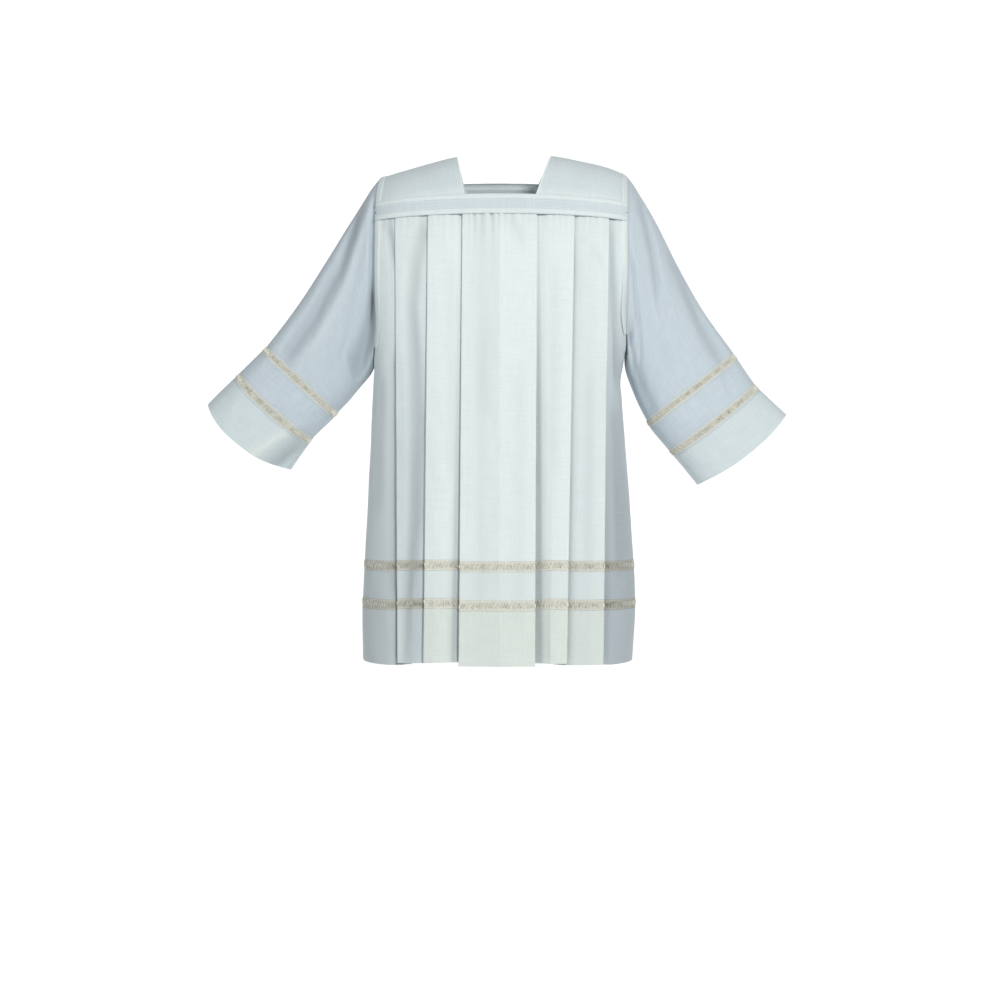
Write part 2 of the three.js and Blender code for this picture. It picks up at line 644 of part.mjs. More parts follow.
for (const face of [FRONT, BACK]) {
  const name = faceName(face);
  addPiece(`${name}_panel`, panelWall(face), 'cloth');
  addPiece(`${name}_insertion_upper`, bodyBandWall(face, PANEL_BOTTOM, STRIP_TOP, TRIM, 1), 'insertion');
  addPiece(`${name}_strip`, bodyBandWall(face, STRIP_TOP, STRIP_BOTTOM, CLOTH, 1), 'cloth');
  addPiece(`${name}_insertion_lower`, bodyBandWall(face, STRIP_BOTTOM, HEM_TOP, TRIM, 1), 'insertion');
  addPiece(`${name}_hem`, bodyBandWall(face, HEM_TOP, HEM_LEVEL - SEAM_GAP / 2, DOUBLE_CLOTH, 2), 'doubled');
  addPiece(`yoke_band_${name}`, yokeBandWall(face), 'yoke');
}

for (const side of ['left', 'right']) {
  const between = (start, end, steps) => {
    const places = [];
    for (let i = 0; i <= steps; i += 1) {
      places.push(mix(start + SLEEVE_SEAM_GAP / 2, end - SLEEVE_SEAM_GAP / 2, i / steps));
    }
    return places;
  };
  const sleeveRows = SLEEVE_ROWS.map((along) => Math.min(along, SLEEVE - SLEEVE_SEAM_GAP / 2));
  addPiece(`yoke_shoulder_${side}`, shoulderWall(side), 'yoke');
  addPiece(`sleeve_${side}`, sleeveWall(side, sleeveRows, CLOTH), 'cloth');
  const upper = between(SLEEVE, SLEEVE_STRIP_START, 1);
  const strip = between(SLEEVE_STRIP_START, SLEEVE_STRIP_END, 1);
  const lower = between(SLEEVE_STRIP_END, CUFF_START, 1);
  addPiece(`sleeve_${side}_insertion_upper`, sleeveWall(side, upper, TRIM), 'insertion');
  addPiece(`sleeve_${side}_strip`, sleeveWall(side, strip, CLOTH), 'cloth');
  addPiece(`sleeve_${side}_insertion_lower`, sleeveWall(side, lower, TRIM), 'insertion');
  addPiece(`sleeve_${side}_cuff`, sleeveWall(side, between(CUFF_START, CUFF_END, 2), DOUBLE_CLOTH), 'doubled');
}

export default cotta;
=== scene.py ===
"""A white cotta, worn open and hollow: pleated body, square yoke, wide sleeves and openwork insertions.

The tables are in millimetres, as a cutter writes them, and MM turns them into metres where a mesh is made.
The wearer's left is +X and the front faces -Y."""
import math

import bmesh
import bpy
import numpy as np
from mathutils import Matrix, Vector


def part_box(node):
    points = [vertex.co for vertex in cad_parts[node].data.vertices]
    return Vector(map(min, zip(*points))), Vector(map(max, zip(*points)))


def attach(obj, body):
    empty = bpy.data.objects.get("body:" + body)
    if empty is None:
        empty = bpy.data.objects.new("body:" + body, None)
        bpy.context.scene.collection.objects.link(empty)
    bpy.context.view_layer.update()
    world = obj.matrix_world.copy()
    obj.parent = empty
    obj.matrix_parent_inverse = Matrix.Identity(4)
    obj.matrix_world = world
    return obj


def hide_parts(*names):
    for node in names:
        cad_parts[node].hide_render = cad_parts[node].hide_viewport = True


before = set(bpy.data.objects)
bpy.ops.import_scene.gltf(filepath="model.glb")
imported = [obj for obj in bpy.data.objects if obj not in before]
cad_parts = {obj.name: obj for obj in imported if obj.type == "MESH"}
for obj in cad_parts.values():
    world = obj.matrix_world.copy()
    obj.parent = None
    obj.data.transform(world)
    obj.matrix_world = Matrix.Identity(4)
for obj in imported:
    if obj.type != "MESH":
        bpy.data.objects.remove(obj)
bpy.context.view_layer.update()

MM = 0.001
FRONT, BACK = -1, 1
FACE_NAMES = {FRONT: "front", BACK: "back"}
SIDE_SIGNS = {"left": 1, "right": -1}

# Lengths, from the frame's own pieces
HEM_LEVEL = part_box("front_hem")[0][2] / MM
SEAM_GAP = 0.3
CHEST_LEVEL = -140.0
HEM_TOP = HEM_LEVEL + 103
INSERTION = 20.0
STRIP_BOTTOM = HEM_TOP + INSERTION
STRIP_TOP = STRIP_BOTTOM + 53
PANEL_BOTTOM = STRIP_TOP + INSERTION
SLEEVE_END = 400.0
SLEEVE_STRIP_START = SLEEVE_END + INSERTION
SLEEVE_STRIP_END = SLEEVE_STRIP_START + 53
CUFF_START = SLEEVE_STRIP_END + INSERTION
CUFF_END = CUFF_START + 70
CLOTH = 0.9
DOUBLE_CLOTH = 1.7


def table(columns, *rows):
    return {name: np.array([row[i] for row in rows], float) for i, name in enumerate(columns.split())}


BODY = table(
    "z left right front back square",
    (-140, 254, 249, 118, 104, 4.6), (-260, 252, 248, 124, 112, 4.4), (-350, 246, 246, 127, 117, 4.0),
    (-400, 240, 243, 129, 119, 3.8), (-440, 234, 245, 130, 121, 3.7), (-540, 241, 250, 134, 125, 3.5),
    (-700, 252, 258, 140, 132, 3.2), (-875, 261, 267, 148, 142, 2.9), (-978, 255, 266, 152, 148, 2.8),
)
RIDGE = table(
    "x z",
    (-229, -41), (-180, -26), (-130, -12), (-85, -1), (0, 4),
    (101, 1), (156, -9), (197, -18), (227, -28), (244, -37),
)
ARMHOLE_TOP = {"left": 244.0, "right": 229.0}
ARMHOLE_UNDER = {"left": -385.0, "right": -410.0}
ARMHOLE_DEPTH = {FRONT: 85.0, BACK: 78.0}
ARMHOLE_CURVE, ARMHOLE_ROUND, ARMHOLE_STRIP = 95.0, 2.2, 8.0
NECK_RIDGE = {"left": 101.0, "right": 85.0}
NECK_SEAM = {("left", FRONT): 62.0, ("left", BACK): 68.0, ("right", FRONT): 64.0, ("right", BACK): 68.0}
NECK_STRAIGHT = 1.8
YOKE_SEAM = {FRONT: -108.0, BACK: -57.0}
YOKE_DROP = {FRONT: 11.5, BACK: 13.0}
YOKE_HALF_WIDTH = 240.0
BAND_HALF_HEIGHT, BAND_END_HALF_HEIGHT, BAND_END = 19.0, 17.5, 1.5

# Each fold: its place at the yoke and the hem, how far it stands open, how deep it goes, how much higher the
# hem is beyond it, the cloth's whiteness there and its share of the step; then its shade beside the fold and
# further on, and the share of the fall at which that shade is full
PLEAT_COLUMNS = "yoke hem open deep lift tone step near far full"
PLEATS = {
    (FRONT, "left"): table(
        PLEAT_COLUMNS,
        (70, 65, 12, 6, 5, 1.0, 1, 0.58, 0.02, 0.5),
        (141, 125, 3, 4, 1, 0.80, 0.8, 0.34, 0.06, 0.15),
        (207, 195, 5, 8, 0, 0.12, 1, 0.38, 0.42, 0.75)),
    (FRONT, "right"): table(
        PLEAT_COLUMNS,
        (71, 77, 12, 6, 7, 1.0, 0.65, 0.42, 0.0, 1),
        (136, 143, 5, 5, 5, 0.35, 0.7, 0.0, 0.23, 0.9),
        (199, 193, 6, 10, 0, 0.55, 0.3, 0.6, 0.48, 1.5)),
    (BACK, "left"): table(
        PLEAT_COLUMNS,
        (72, 71, 9, 8, 4, 0.9, 1, 0.3, 0, 1),
        (139, 134, 6, 6, 2, 0.4, 0.9, 0.2, 0.1, 1),
        (203, 197, 4, 6, 1, 0.2, 0.7, 0.3, 0.2, 1)),
    (BACK, "right"): table(
        PLEAT_COLUMNS,
        (70, 74, 10, 9, 5, 0.9, 1, 0.3, 0, 1),
        (137, 140, 4, 5, 3, 0.5, 1, 0.2, 0.1, 1),
        (197, 192, 6, 7, 1, 0.2, 0.6, 0.3, 0.2, 1)),
}
PLEAT_LAP, OPEN_AT_YOKE, CORNER_LIFT = 24.0, 2.0, 4.0
PITCH_YOKE, PITCH_HEM, STEP_YOKE, STEP_HEM = 2.4, 3.2, 4.8, 6.4
CREASE_WIDTH, CREASE_STANDS, CREASE_STARTS = 14.0, 1.8, 60.0
ROOF_STANDS, ROOF_HALF_WIDTH = 3.0, 62.0
# How far a pleat's face swells and the cloth beyond its fold sinks at the hem, and where both begin and end
BULGE, HOLLOW, LAP_LEAD, LAP_TRAIL, GAP_RUN, SIDE_RUN = 1.2, 5.0, 8, 4, 6, 14
# The shade's share on the bulge, the step's share in the gap and beyond it, and how fast the side whitens
BULGE_SHADE, GAP_OUT, SIDE_OUT, WHITER_ASIDE, WHITER_ABOVE = 0.6, 0.8, 0.45, 1.3, 2.4
# Steps of the grid: in the centre's two stretches, in each stretch of a pleat, to the side and at the edge
CENTRE_STEPS, PLEAT_STEPS, SIDE_STEPS, EDGE_STEPS = (6, 15), (3, 11, 3, 5, 2, 5, 5, 3, 3, 8), 7, 5
SMOOTHINGS, LINE_STEPS, LINE_REACH, CREASE_END = 2, 240, 3.0, 60.0
GATHER_ROWS, PLAIN_ROWS, STRIP_ROWS, HEM_ROWS, INSERTION_ROWS = 15, 58, 8, 16, 2
GATHERS_FROM, GATHERS_TO, PLAIN_FROM = 5, 60, 68

# Whiteness: of a fold's edge, under each fold at the yoke, in a fold's gap, where it is lower for the single
# layer and as painted shade in the recess, and beside the armhole
EDGE_TONE, TOP_TONES, GAP_TONE_AND_SHADE, ARMHOLE_TONE, WHITENESS_FALL = 0.45, (1.0, 0.9, 0.72), 0.7, 0.92, 1.8
# Shade: at the hem, for a millimetre of crease, of pucker and of sleeve fold, on the strip, and the most
FALL_SHADE, CREASE_SHADE, PUCKER_SHADE, SLEEVE_SHADE = 0.05, 0.045, 0.1, 0.022
STRIP_SHADE, MOST_SHADE, CENTRE_SHADE = 0.1, 0.6, {"left": 0, "right": 0.038}
BAND_SHADE, BAND_SHADE_REACH = 0.16, 28.0
# Painted shade along the sleeves' armhole seam, its width at the top and at the underarm, and the painted
# highlight that lightens the sleeves' ridges
ARMHOLE_SHADE, ARMHOLE_SHADE_WIDTH, UNDERARM_SHADE_WIDTH, SLEEVE_RIDGE_HIGHLIGHT = 0.42, 8.0, 34.0, 3.0

# The body's waves: how high they and the slack swing, and where each starts and is full; the same of the
# sleeves' slack; and how far from the yoke and from the edge the cloth begins to move
LONG_WAVE, SHORT_WAVE, WAVES_START, WAVES_RUN = 1.6, 1.1, -180, 800
SLACK, SLACK_START, SLACK_RUN = 0.5, -125, 60
SLEEVE_SLACK, SLEEVE_SLACK_RUN, SLEEVE_FOLD_START, SLEEVE_FOLD_RUN = 0.8, 40, 2, 14
YOKE_STILL, YOKE_FADE, SEAM_FADE, ARMHOLE_FADE = 14, 60, 20, 12
# The gathers below the front band: depth, where they start, rise and fade, and where they are strongest
PUCKER_DEPTH, PUCKER_START, PUCKER_RISE, PUCKER_FADE, PUCKER_LEAST = 1.7, 17, 12, 26, 0.35
PUCKER_AT, PUCKER_WIDTH = -38, 42

# The share by which rows drop towards the right armhole, the deeper one: a panel's rows, then its strip's
DROPS = table(
    "z drop",
    (-978, 0), (-560, 0), (-430, 0.6), (-385, 1), (-340, 1), (-290, 0.8), (-170, 0.1), (-110, 0),
)
STRIP_DROPS = table("z drop", (-400, 1), (-340, 1), (-290, 0.8), (-170, 0.1), (-100, 0))

SLEEVE_COLUMNS = "along top_x top_z under_x under_z front back square top_back under_back bow"
SLEEVES = {
    "left": table(
        SLEEVE_COLUMNS,
        (0, 244, -37, 242, -385, 85, 78, 2.4, 0, 0, 0),
        (32, 262, -59, 243.5, -397, 82, 79, 2.4, 2, 0, 0),
        (100, 300, -119, 247, -420, 76, 80, 2.3, 10, 0, 0),
        (200, 347, -208, 259, -452, 70, 76, 2.3, 20, 4, 0),
        (300, 397, -295, 272, -482, 66, 72, 2.3, 26, 6, 0),
        (400, 456, -377, 286, -509, 63, 68, 2.3, 28, 8, 0),
        (420, 467, -393, 295, -527, 62, 67, 2.3, 28, 8, 0),
        (473, 497, -437, 329, -568, 60, 64, 2.3, 27, 8, 2),
        (493, 510, -452, 342, -583, 59, 62, 2.3, 26, 8, 4),
        (528, 535, -476, 362, -607, 57, 59, 2.3, 25, 7, 8),
        (563, 561, -500, 386, -637, 54, 56, 2.3, 24, 6, 12)),
    "right": table(
        SLEEVE_COLUMNS,
        (0, 229, -41, 243, -410, 85, 78, 2.4, 0, 0, 0),
        (32, 250, -66, 249, -417, 84, 80, 2.4, 0, 2, 0),
        (100, 286, -121, 261, -431, 82, 82, 2.6, 3, 8, 0),
        (200, 338, -205, 280, -451.5, 80, 82, 2.7, 5, 16, 0),
        (300, 391, -287, 298, -472, 78, 80, 2.8, 6, 24, 0),
        (400, 451, -366, 318, -492, 76, 79, 2.8, 6, 30, 0),
        (420, 465, -380, 330, -506, 75, 79, 2.8, 6, 31, 0),
        (473, 503, -417, 368, -543, 73, 78, 2.7, 6, 33, 4),
        (493, 517, -431, 379, -558, 72, 77, 2.7, 6, 33, 8),
        (528, 542, -455, 396, -582, 71, 76, 2.6, 5, 33, 14),
        (563, 567, -480, 413, -607, 70, 75, 2.6, 5, 32, 22)),
}
# Troughs (positive) and ridges (negative) of the sleeves: face, depth and width, then places along the
# sleeve in millimetres and up it as a share of its height
SLEEVE_FOLDS = {
    "right": (
        (FRONT, 15, 26, (50, 0.97), (110, 0.89), (162, 0.81), (264, 0.77), (420, 0.74)),
        (FRONT, -3, 20, (30, 0.86), (120, 0.7), (209, 0.62), (354, 0.58)),
        (FRONT, 9, 13, (2, 0.92), (8, 0.75), (12, 0.6), (18, 0.4)),
        (FRONT, 24, 36, (-20, 0.42), (45, 0.22), (109, 0.14), (210, 0.09)),
        (FRONT, -7, 15, (466, 0.13), (488, 0.17), (523, 0.26), (600, 0.4)),
        (FRONT, 26, 26, (470, -0.02), (535, 0.07), (620, 0.19)),
        (FRONT, 2.5, 14, (150, 0.4), (330, 0.3)),
        (FRONT, -2, 9, (405, 0.9), (452, 0.84)),
        (BACK, 10, 24, (90, 0.9), (260, 0.5)),
        (BACK, 9, 20, (30, 0.3), (120, 0.15), (220, 0.12)),
        (BACK, 4, 13, (160, 0.7), (380, 0.75)),
        (BACK, 4, 12, (60, 0.55), (240, 0.3)),
        (BACK, 4, 9, (500, 0.1), (560, 0.25)),
    ),
    "left": (
        (FRONT, 10, 17, (30, 0.97), (55, 0.93), (102, 0.81), (180, 0.6)),
        (FRONT, 13, 21, (150, 0.99), (209, 0.97), (343, 0.88), (420, 0.84)),
        (FRONT, -2.5, 9, (147, 0.56), (252, 0.45)),
        (FRONT, 3, 14, (190, 0.5), (330, 0.38)),
        (FRONT, 8, 16, (100, 0.3), (60, 0.16), (35, 0.06)),
        (FRONT, 5, 13, (12, 0.6), (90, 0.35), (190, 0.14)),
        (FRONT, 3, 6, (405, 0.82), (456, 0.74), (480, 0.7)),
        (FRONT, 2, 14, (480, 0.3), (560, 0.35)),
        (FRONT, 6, 17, (10, 0.24), (60, 0.15), (150, 0.09), (420, 0.06)),
        (BACK, 10, 24, (80, 0.88), (200, 0.72), (300, 0.62)),
        (BACK, 8, 20, (40, 0.32), (140, 0.22), (250, 0.24)),
        (BACK, 4, 13, (120, 0.55), (330, 0.4)),
        (BACK, 3, 13, (300, 0.72), (470, 0.6)),
    ),
}
FOLD_END, SHAPE_BLEND, SIDE_SCALE, SLEEVE_ROUND = 64.0, 150.0, 300.0, 132
CLEAR_SEAM, CLEAR_UNDERARM, CLEAR_FADES = 1.8, 1.0, 60.0

# Creases of the body: depth and width, then the places in x and z that each runs through
BODY_CREASES = {
    FRONT: (
        (7, 13, (-139, -128), (-150, -177), (-160, -220), (-168, -300), (-166, -340), (-155, -516),
         (-161, -705), (-179, -860), (-187, -990)),
        (6, 9, (-214, -124), (-211, -165), (-203, -225)),
        (1.6, 20, (-38, -128), (-36, -300), (-34, -520)),
        (2.6, 9, (12, -128), (32, -156), (46, -200)),
        (2.5, 7, (168, -185), (190, -212), (203, -240), (204, -330)),
        (7, 9, (206, -128), (211, -215), (220, -290), (226, -366), (228, -450)),
        (4.5, 11, (-205, -380), (-204, -600), (-202, -860)),
        (3, 12, (-228, -420), (-238, -700)),
        (4, 13, (222, -480), (234, -800)),
        (1.6, 12, (-96, -200), (-92, -620)),
        (1.5, 13, (101, -210), (98, -640)),
        (1.4, 14, (36, -420), (30, -900)),
        (1.4, 12, (-36, -330), (-40, -860)),
        (2.2, 12, (170, -420), (168, -800)),
    ),
    BACK: (
        (3, 13, (-60, -110), (-55, -250), (-52, -420)),
        (2.6, 13, (48, -110), (44, -520)),
        (6, 12, (147, -90), (156, -220), (162, -420)),
        (6, 13, (-145, -90), (-160, -260), (-168, -460)),
        (4.5, 14, (-226, -300), (-222, -760)),
        (5, 14, (222, -320), (230, -780)),
        (2, 13, (-100, -420), (-108, -820)),
        (2, 14, (104, -440), (98, -860)),
    ),
}


def at(rows, key, where, name):
    """A column of a table at places along its key, on a smooth curve through the rows."""
    keys, values = rows[key], rows[name]
    if keys[0] > keys[-1]:
        keys, values = keys[::-1], values[::-1]
    slopes = np.empty_like(values)
    slopes[1:-1] = (values[2:] - values[:-2]) / (keys[2:] - keys[:-2])
    slopes[0] = (values[1] - values[0]) / (keys[1] - keys[0])
    slopes[-1] = (values[-1] - values[-2]) / (keys[-1] - keys[-2])
    where = np.clip(where, keys[0], keys[-1])
    i = np.clip(np.searchsorted(keys, where, side="right") - 1, 0, len(keys) - 2)
    gap = keys[i + 1] - keys[i]
    t = (where - keys[i]) / gap
    return (
        values[i] * (1 + 2 * t) * (1 - t) ** 2
        + slopes[i] * gap * t * (1 - t) ** 2
        + values[i + 1] * t * t * (3 - 2 * t)
        + slopes[i + 1] * gap * t * t * (t - 1)
    )


def mix(a, b, share):
    return a + (b - a) * share


def clamp(share):
    return np.clip(share, 0, 1)


def ease(share):
    t = clamp(share)
    return t * t * (3 - 2 * t)


def steps_of(points, axis=0):
    """The distance from each point to the next."""
    return np.linalg.norm(np.diff(points, axis=axis), axis=-1)


def run_of(steps):
    """The distance reached after each step along a row, from 0."""
    return np.concatenate([np.zeros((*steps.shape[:-1], 1)), np.cumsum(steps, axis=-1)], axis=-1)


def beside(a, b):
    """Two values for each point of a grid, for its flat pattern."""
    return np.stack(np.broadcast_arrays(a, b), axis=2)


def spot(where, along, line):
    """Points at places along a line of points."""
    return np.stack([np.interp(where, along, line[:, i]) for i in range(line.shape[1])], axis=-1)


def body(z, name):
    return at(BODY, "z", np.minimum(z, CHEST_LEVEL), name)


def half_width(x, z):
    return np.where(x < 0, body(z, "right"), body(z, "left"))


def seam_level(face, x):
    return YOKE_SEAM[face] - YOKE_DROP[face] * (x / YOKE_HALF_WIDTH) ** 2


def arch_angle(x, z):
    ridge = at(RIDGE, "x", x, "z")
    return np.arccos(clamp(1 - (ridge - z) / (ridge - CHEST_LEVEL)))


def depth_at(face, x, z):
    square = body(z, "square")
    across = clamp(np.abs(x) / half_width(x, z))
    depth = body(z, FACE_NAMES[face]) * (1 - across**square) ** (1 / square)
    return np.where(z > CHEST_LEVEL, depth * np.sin(arch_angle(x, z)), depth)


def armhole_depth(face, side, z):
    down = clamp((ARMHOLE_UNDER[side] + ARMHOLE_CURVE - z) / ARMHOLE_CURVE)
    return ARMHOLE_DEPTH[face] * (1 - down**ARMHOLE_ROUND) ** (1 / ARMHOLE_ROUND)


def body_edge(face, side, z):
    """The body's edge at a level: the armhole above the underarm and the side seam below it."""
    def half(level):
        square = body(level, "square")
        share = armhole_depth(face, side, level) / body(level, FACE_NAMES[face])
        return body(level, side) * (1 - share**square) ** (1 / square)

    x = np.full(np.shape(z), ARMHOLE_TOP[side])
    for _ in range(4):
        x = mix(half(CHEST_LEVEL), ARMHOLE_TOP[side], np.cos(arch_angle(SIDE_SIGNS[side] * x, z)) ** 2)
    return np.where(z <= CHEST_LEVEL, half(np.minimum(z, CHEST_LEVEL)), x)


def crease(x, y, path, depth, width, end):
    """A crease along a path of a plane: a soft trough that runs out towards both ends."""
    nearest = np.full(np.broadcast(x, y).shape, np.inf)
    where = np.zeros(nearest.shape)
    run = 0.0
    for (x0, y0), (x1, y1) in zip(path, path[1:]):
        length = math.hypot(x1 - x0, y1 - y0)
        onto = np.clip(((x - x0) * (x1 - x0) + (y - y0) * (y1 - y0)) / length, 0, length)
        away = np.hypot(x - x0 - onto * (x1 - x0) / length, y - y0 - onto * (y1 - y0) / length)
        closer = away < nearest
        nearest = np.where(closer, away, nearest)
        where = np.where(closer, run + onto, where)
        run += length
    ends = ease((where + end * 0.3) / end) * ease((run - where + end * 0.3) / end)
    return depth * np.exp(-((nearest / width) ** 2)) * ends


def waves(face, x, z):
    """How far the body's cloth hangs out of its plain form: slow waves that grow towards the hem."""
    down = clamp((WAVES_START - z) / WAVES_RUN)
    long = LONG_WAVE * np.sin(x / 31 + 0.6 * np.sin(z / 190) + face)
    short = SHORT_WAVE * np.sin(x / 17.5 - z / 260 + 2 * face)
    slack = SLACK * np.sin(x / 9.0 + z / 75) * np.sin(z / 33 + x / 60)
    return (long + short) * down**1.2 + slack * clamp((SLACK_START - z) / SLACK_RUN)


def creases(face, x, z):
    return sum(crease(x, z, path, depth, width, CREASE_END) for depth, width, *path in BODY_CREASES[face])


class Line:
    """The body's middle line on one side at a level, from the centre to its edge, by length of cloth."""

    def __init__(self, face, side, level):
        self.face, self.sign = face, SIDE_SIGNS[side]
        edge_level = float(level(self.sign * YOKE_HALF_WIDTH))
        square = float(body(edge_level, "square"))
        half = float(body(edge_level, side))
        edge = float(body_edge(face, side, np.array(edge_level)))
        last = math.asin(min(1, (edge / half) ** (square / 2)))
        self.x = half * np.sin(np.linspace(0, last, LINE_STEPS + 1)) ** (2 / square)
        self.y = np.maximum(depth_at(face, self.sign * self.x, level(self.sign * self.x)), SEAM_GAP / 2)
        self.along = run_of(np.hypot(np.diff(self.x), np.diff(self.y)))
        self.length = self.along[-1]

    def on_it(self, along):
        return np.interp(along, self.along, self.x), np.interp(along, self.along, self.y)

    def place(self, along, out):
        """Points at places along the line that stand out from it."""
        (x, y), before, after = (self.on_it(along + reach) for reach in (0, -LINE_REACH, LINE_REACH))
        dx, dy = after[0] - before[0], after[1] - before[1]
        run = np.hypot(dx, dy)
        return self.sign * (x - dy / run * out), self.face * (y + dx / run * out)


def half_row(face, side, level):
    """One side of a row of the body, from the centre out: x, y, z, how free the cloth is, layers and shade.

    A control point holds its place along the row, how far out it stands, its lift at the hem, freedom,
    layers, steps to the next point, and shade. A pleat's points are its flat and bulge, the fold, the
    under-fold, the two inner turns, the way back and the three of its opening."""
    line = Line(face, side, level)
    centre = float(level(0.0))
    seam = YOKE_SEAM[face]
    fall = clamp((seam - centre) / (seam - HEM_LEVEL))
    under = ARMHOLE_UNDER[side]
    lifted = clamp((under - centre) / (under - HEM_LEVEL)) ** 2
    pitch, step = mix(PITCH_YOKE, PITCH_HEM, fall), mix(STEP_YOKE, STEP_HEM, fall)
    stands = CREASE_STANDS * (1 - fall) * clamp((seam - centre) / CREASE_STARTS)
    pleats = PLEATS[face, side]
    lift, tone, far = 0, 1, CENTRE_SHADE[side]
    points = [(0, stands, 0, 1, 1, CENTRE_STEPS[0], far), (CREASE_WIDTH, 0, 0, 1, 1, CENTRE_STEPS[1], far)]
    for k in range(3):
        fold = float(np.interp(mix(pleats["yoke"][k], pleats["hem"][k], fall), line.x, line.along))
        deep = pleats["deep"][k] * fall
        middle, after = mix(lift, pleats["lift"][k], 0.5), pleats["lift"][k]
        opened = fold + mix(OPEN_AT_YOKE, pleats["open"][k], fall)
        layers = mix(TOP_TONES[k], pleats["tone"][k], min(1, fall * WHITENESS_FALL))
        edge_tone = mix(tone, 1, EDGE_TONE)
        shaded = float(ease(fall / pleats["full"][k]))
        near, beyond = pleats["near"][k] * shaded, pleats["far"][k] * shaded
        back_step, sunk = step * pleats["step"][k], HOLLOW * fall
        lap = fold - PLEAT_LAP
        pleat = (
            (lap - LAP_LEAD, 0, lift, 1, tone, far),
            (lap + LAP_TRAIL, BULGE * fall, lift, 1, edge_tone, far * BULGE_SHADE),
            (fold, 0, lift, 0, edge_tone, 0),
            (fold, -pitch, lift, 0, edge_tone, 0),
            (lap, -pitch - deep, middle, 0, layers, 0),
            (lap, -2 * pitch - deep, middle, 0, layers, 0),
            (fold, -2 * pitch - deep, after, 0, layers, near),
            # the gap is less white: its single layer, and painted shade in the recess
            (opened, -back_step - sunk, after, 0.8, GAP_TONE_AND_SHADE * layers, near),
            (opened + GAP_RUN, -back_step * GAP_OUT - sunk * 0.7, after, 1, layers, mix(near, beyond, 0.75)),
            (opened + SIDE_RUN, -back_step * SIDE_OUT - sunk * 0.2, after, 1, layers, beyond),
        )
        points += [(*point[:5], steps, point[5]) for point, steps in zip(pleat, PLEAT_STEPS)]
        lift, tone, far = after, layers, beyond
    plain_end = line.length - ARMHOLE_STRIP - 1
    for share in (0.25, 0.5, 0.75, 1):
        whiter = float(ease(share * WHITER_ASIDE) * (1 - ease(fall * WHITER_ABOVE)))
        along = mix(opened + SIDE_RUN, plain_end, share)
        out = -back_step * SIDE_OUT * (1 - float(ease(share)))
        side_tone = mix(layers, ARMHOLE_TONE, whiter)
        lifted_to, shaded = mix(lift, CORNER_LIFT, share), beyond * (1 - whiter)
        points.append((along, out, lifted_to, 1, side_tone, SIDE_STEPS, shaded))
    points.append((plain_end + 1, 0, CORNER_LIFT, 0.3, side_tone, EDGE_STEPS, beyond))
    points.append((line.length, 0, CORNER_LIFT, 0, side_tone, 0, beyond))
    control = np.array(points, float)
    place = np.concatenate(
        [k + np.arange(int(n)) / max(1, int(n)) for k, n in enumerate(control[:-1, 5])] + [[len(points) - 1]])
    along, out, lifts, free, layers, shade = (
        np.interp(place, np.arange(len(points)), control[:, i]) for i in (0, 1, 2, 3, 4, 6))
    for _ in range(SMOOTHINGS):
        for values in (along, out):
            values[1:-1] = (values[:-2] + 2 * values[1:-1] + values[2:]) / 4
    x = line.place(along, 0)[0]
    z = level(x) + lifts * lifted
    fade = clamp((line.length - along) / (SEAM_FADE if centre < under else ARMHOLE_FADE))
    top = clamp((seam - YOKE_STILL - z) / YOKE_FADE)
    roof = ROOF_STANDS * clamp(1 - along / ROOF_HALF_WIDTH) * (out > -1)
    pressed = creases(face, x, z) * free
    out = out + (waves(face, x, z) + roof - pressed) * ease(fade) * ease(top)
    x, y = line.place(along, out)
    if centre < under:
        y = face * np.maximum(face * y, SEAM_GAP / 2)
    # Painted shade: deeper towards the hem, in creases, beside the folds and just under the band
    under_band = BAND_SHADE * np.exp(-np.maximum(seam - BAND_HALF_HEIGHT - z, 0) / BAND_SHADE_REACH)
    shade = np.clip(shade + FALL_SHADE * fall + CREASE_SHADE * pressed + under_band, 0, MOST_SHADE)
    return x, y, z, free, layers, shade


def body_rows(face, levels):
    """The grid of a body piece: rows downwards, columns from the wearer's right edge to the left edge."""
    grids = []
    for level in levels:
        left = half_row(face, "left", level)
        right = half_row(face, "right", level)
        grids.append([np.concatenate([r[:0:-1], l]) for l, r in zip(left, right)])
    x, y, z, free, layers, shade = (np.array([row[i] for row in grids]) for i in range(6))
    across = run_of(np.hypot(np.diff(x, axis=1), np.diff(y, axis=1)))
    across -= across[:, across.shape[1] // 2][:, None]
    return {
        "points": np.stack([x, y, z], axis=2), "uv": beside(across, z), "free": free,
        "tones": {"layers": layers, "shade": shade}}


def panel_levels(face):
    """Levels of a panel's rows, closer together below the band, and dropped towards the right underarm."""
    start = YOKE_SEAM[face]
    levels = [lambda x: seam_level(face, x) - SEAM_GAP / 2]
    upper = np.linspace(start - GATHERS_FROM, start - GATHERS_TO, GATHER_ROWS)
    lower = np.linspace(start - PLAIN_FROM, PANEL_BOTTOM + SEAM_GAP / 2, PLAIN_ROWS)
    extra = ARMHOLE_UNDER["right"] - ARMHOLE_UNDER["left"]

    def dropped(z):
        share = float(np.interp(z, DROPS["z"], DROPS["drop"])) * extra
        curve = max(0, 1 - (start - z) / GATHERS_TO) * -YOKE_DROP[face]

        def level(x):
            bowed = (np.asarray(x, float) / YOKE_HALF_WIDTH) ** 2
            return z + curve * bowed + np.where(np.asarray(x) < 0, share * bowed, 0)

        return level

    return levels + [dropped(float(z)) for z in np.concatenate([upper, lower])]


def straight_levels(top, bottom, steps):
    zs = np.linspace(top - SEAM_GAP / 2, bottom + SEAM_GAP / 2, steps + 1)
    return [lambda x, z=float(z): np.full(np.shape(x), z) for z in zs]


# Meshes: every cloth piece is a grid whose points are moved to their places, then given its thickness
SHARP_ANGLE, MERGE_DISTANCE = 72, 1e-6


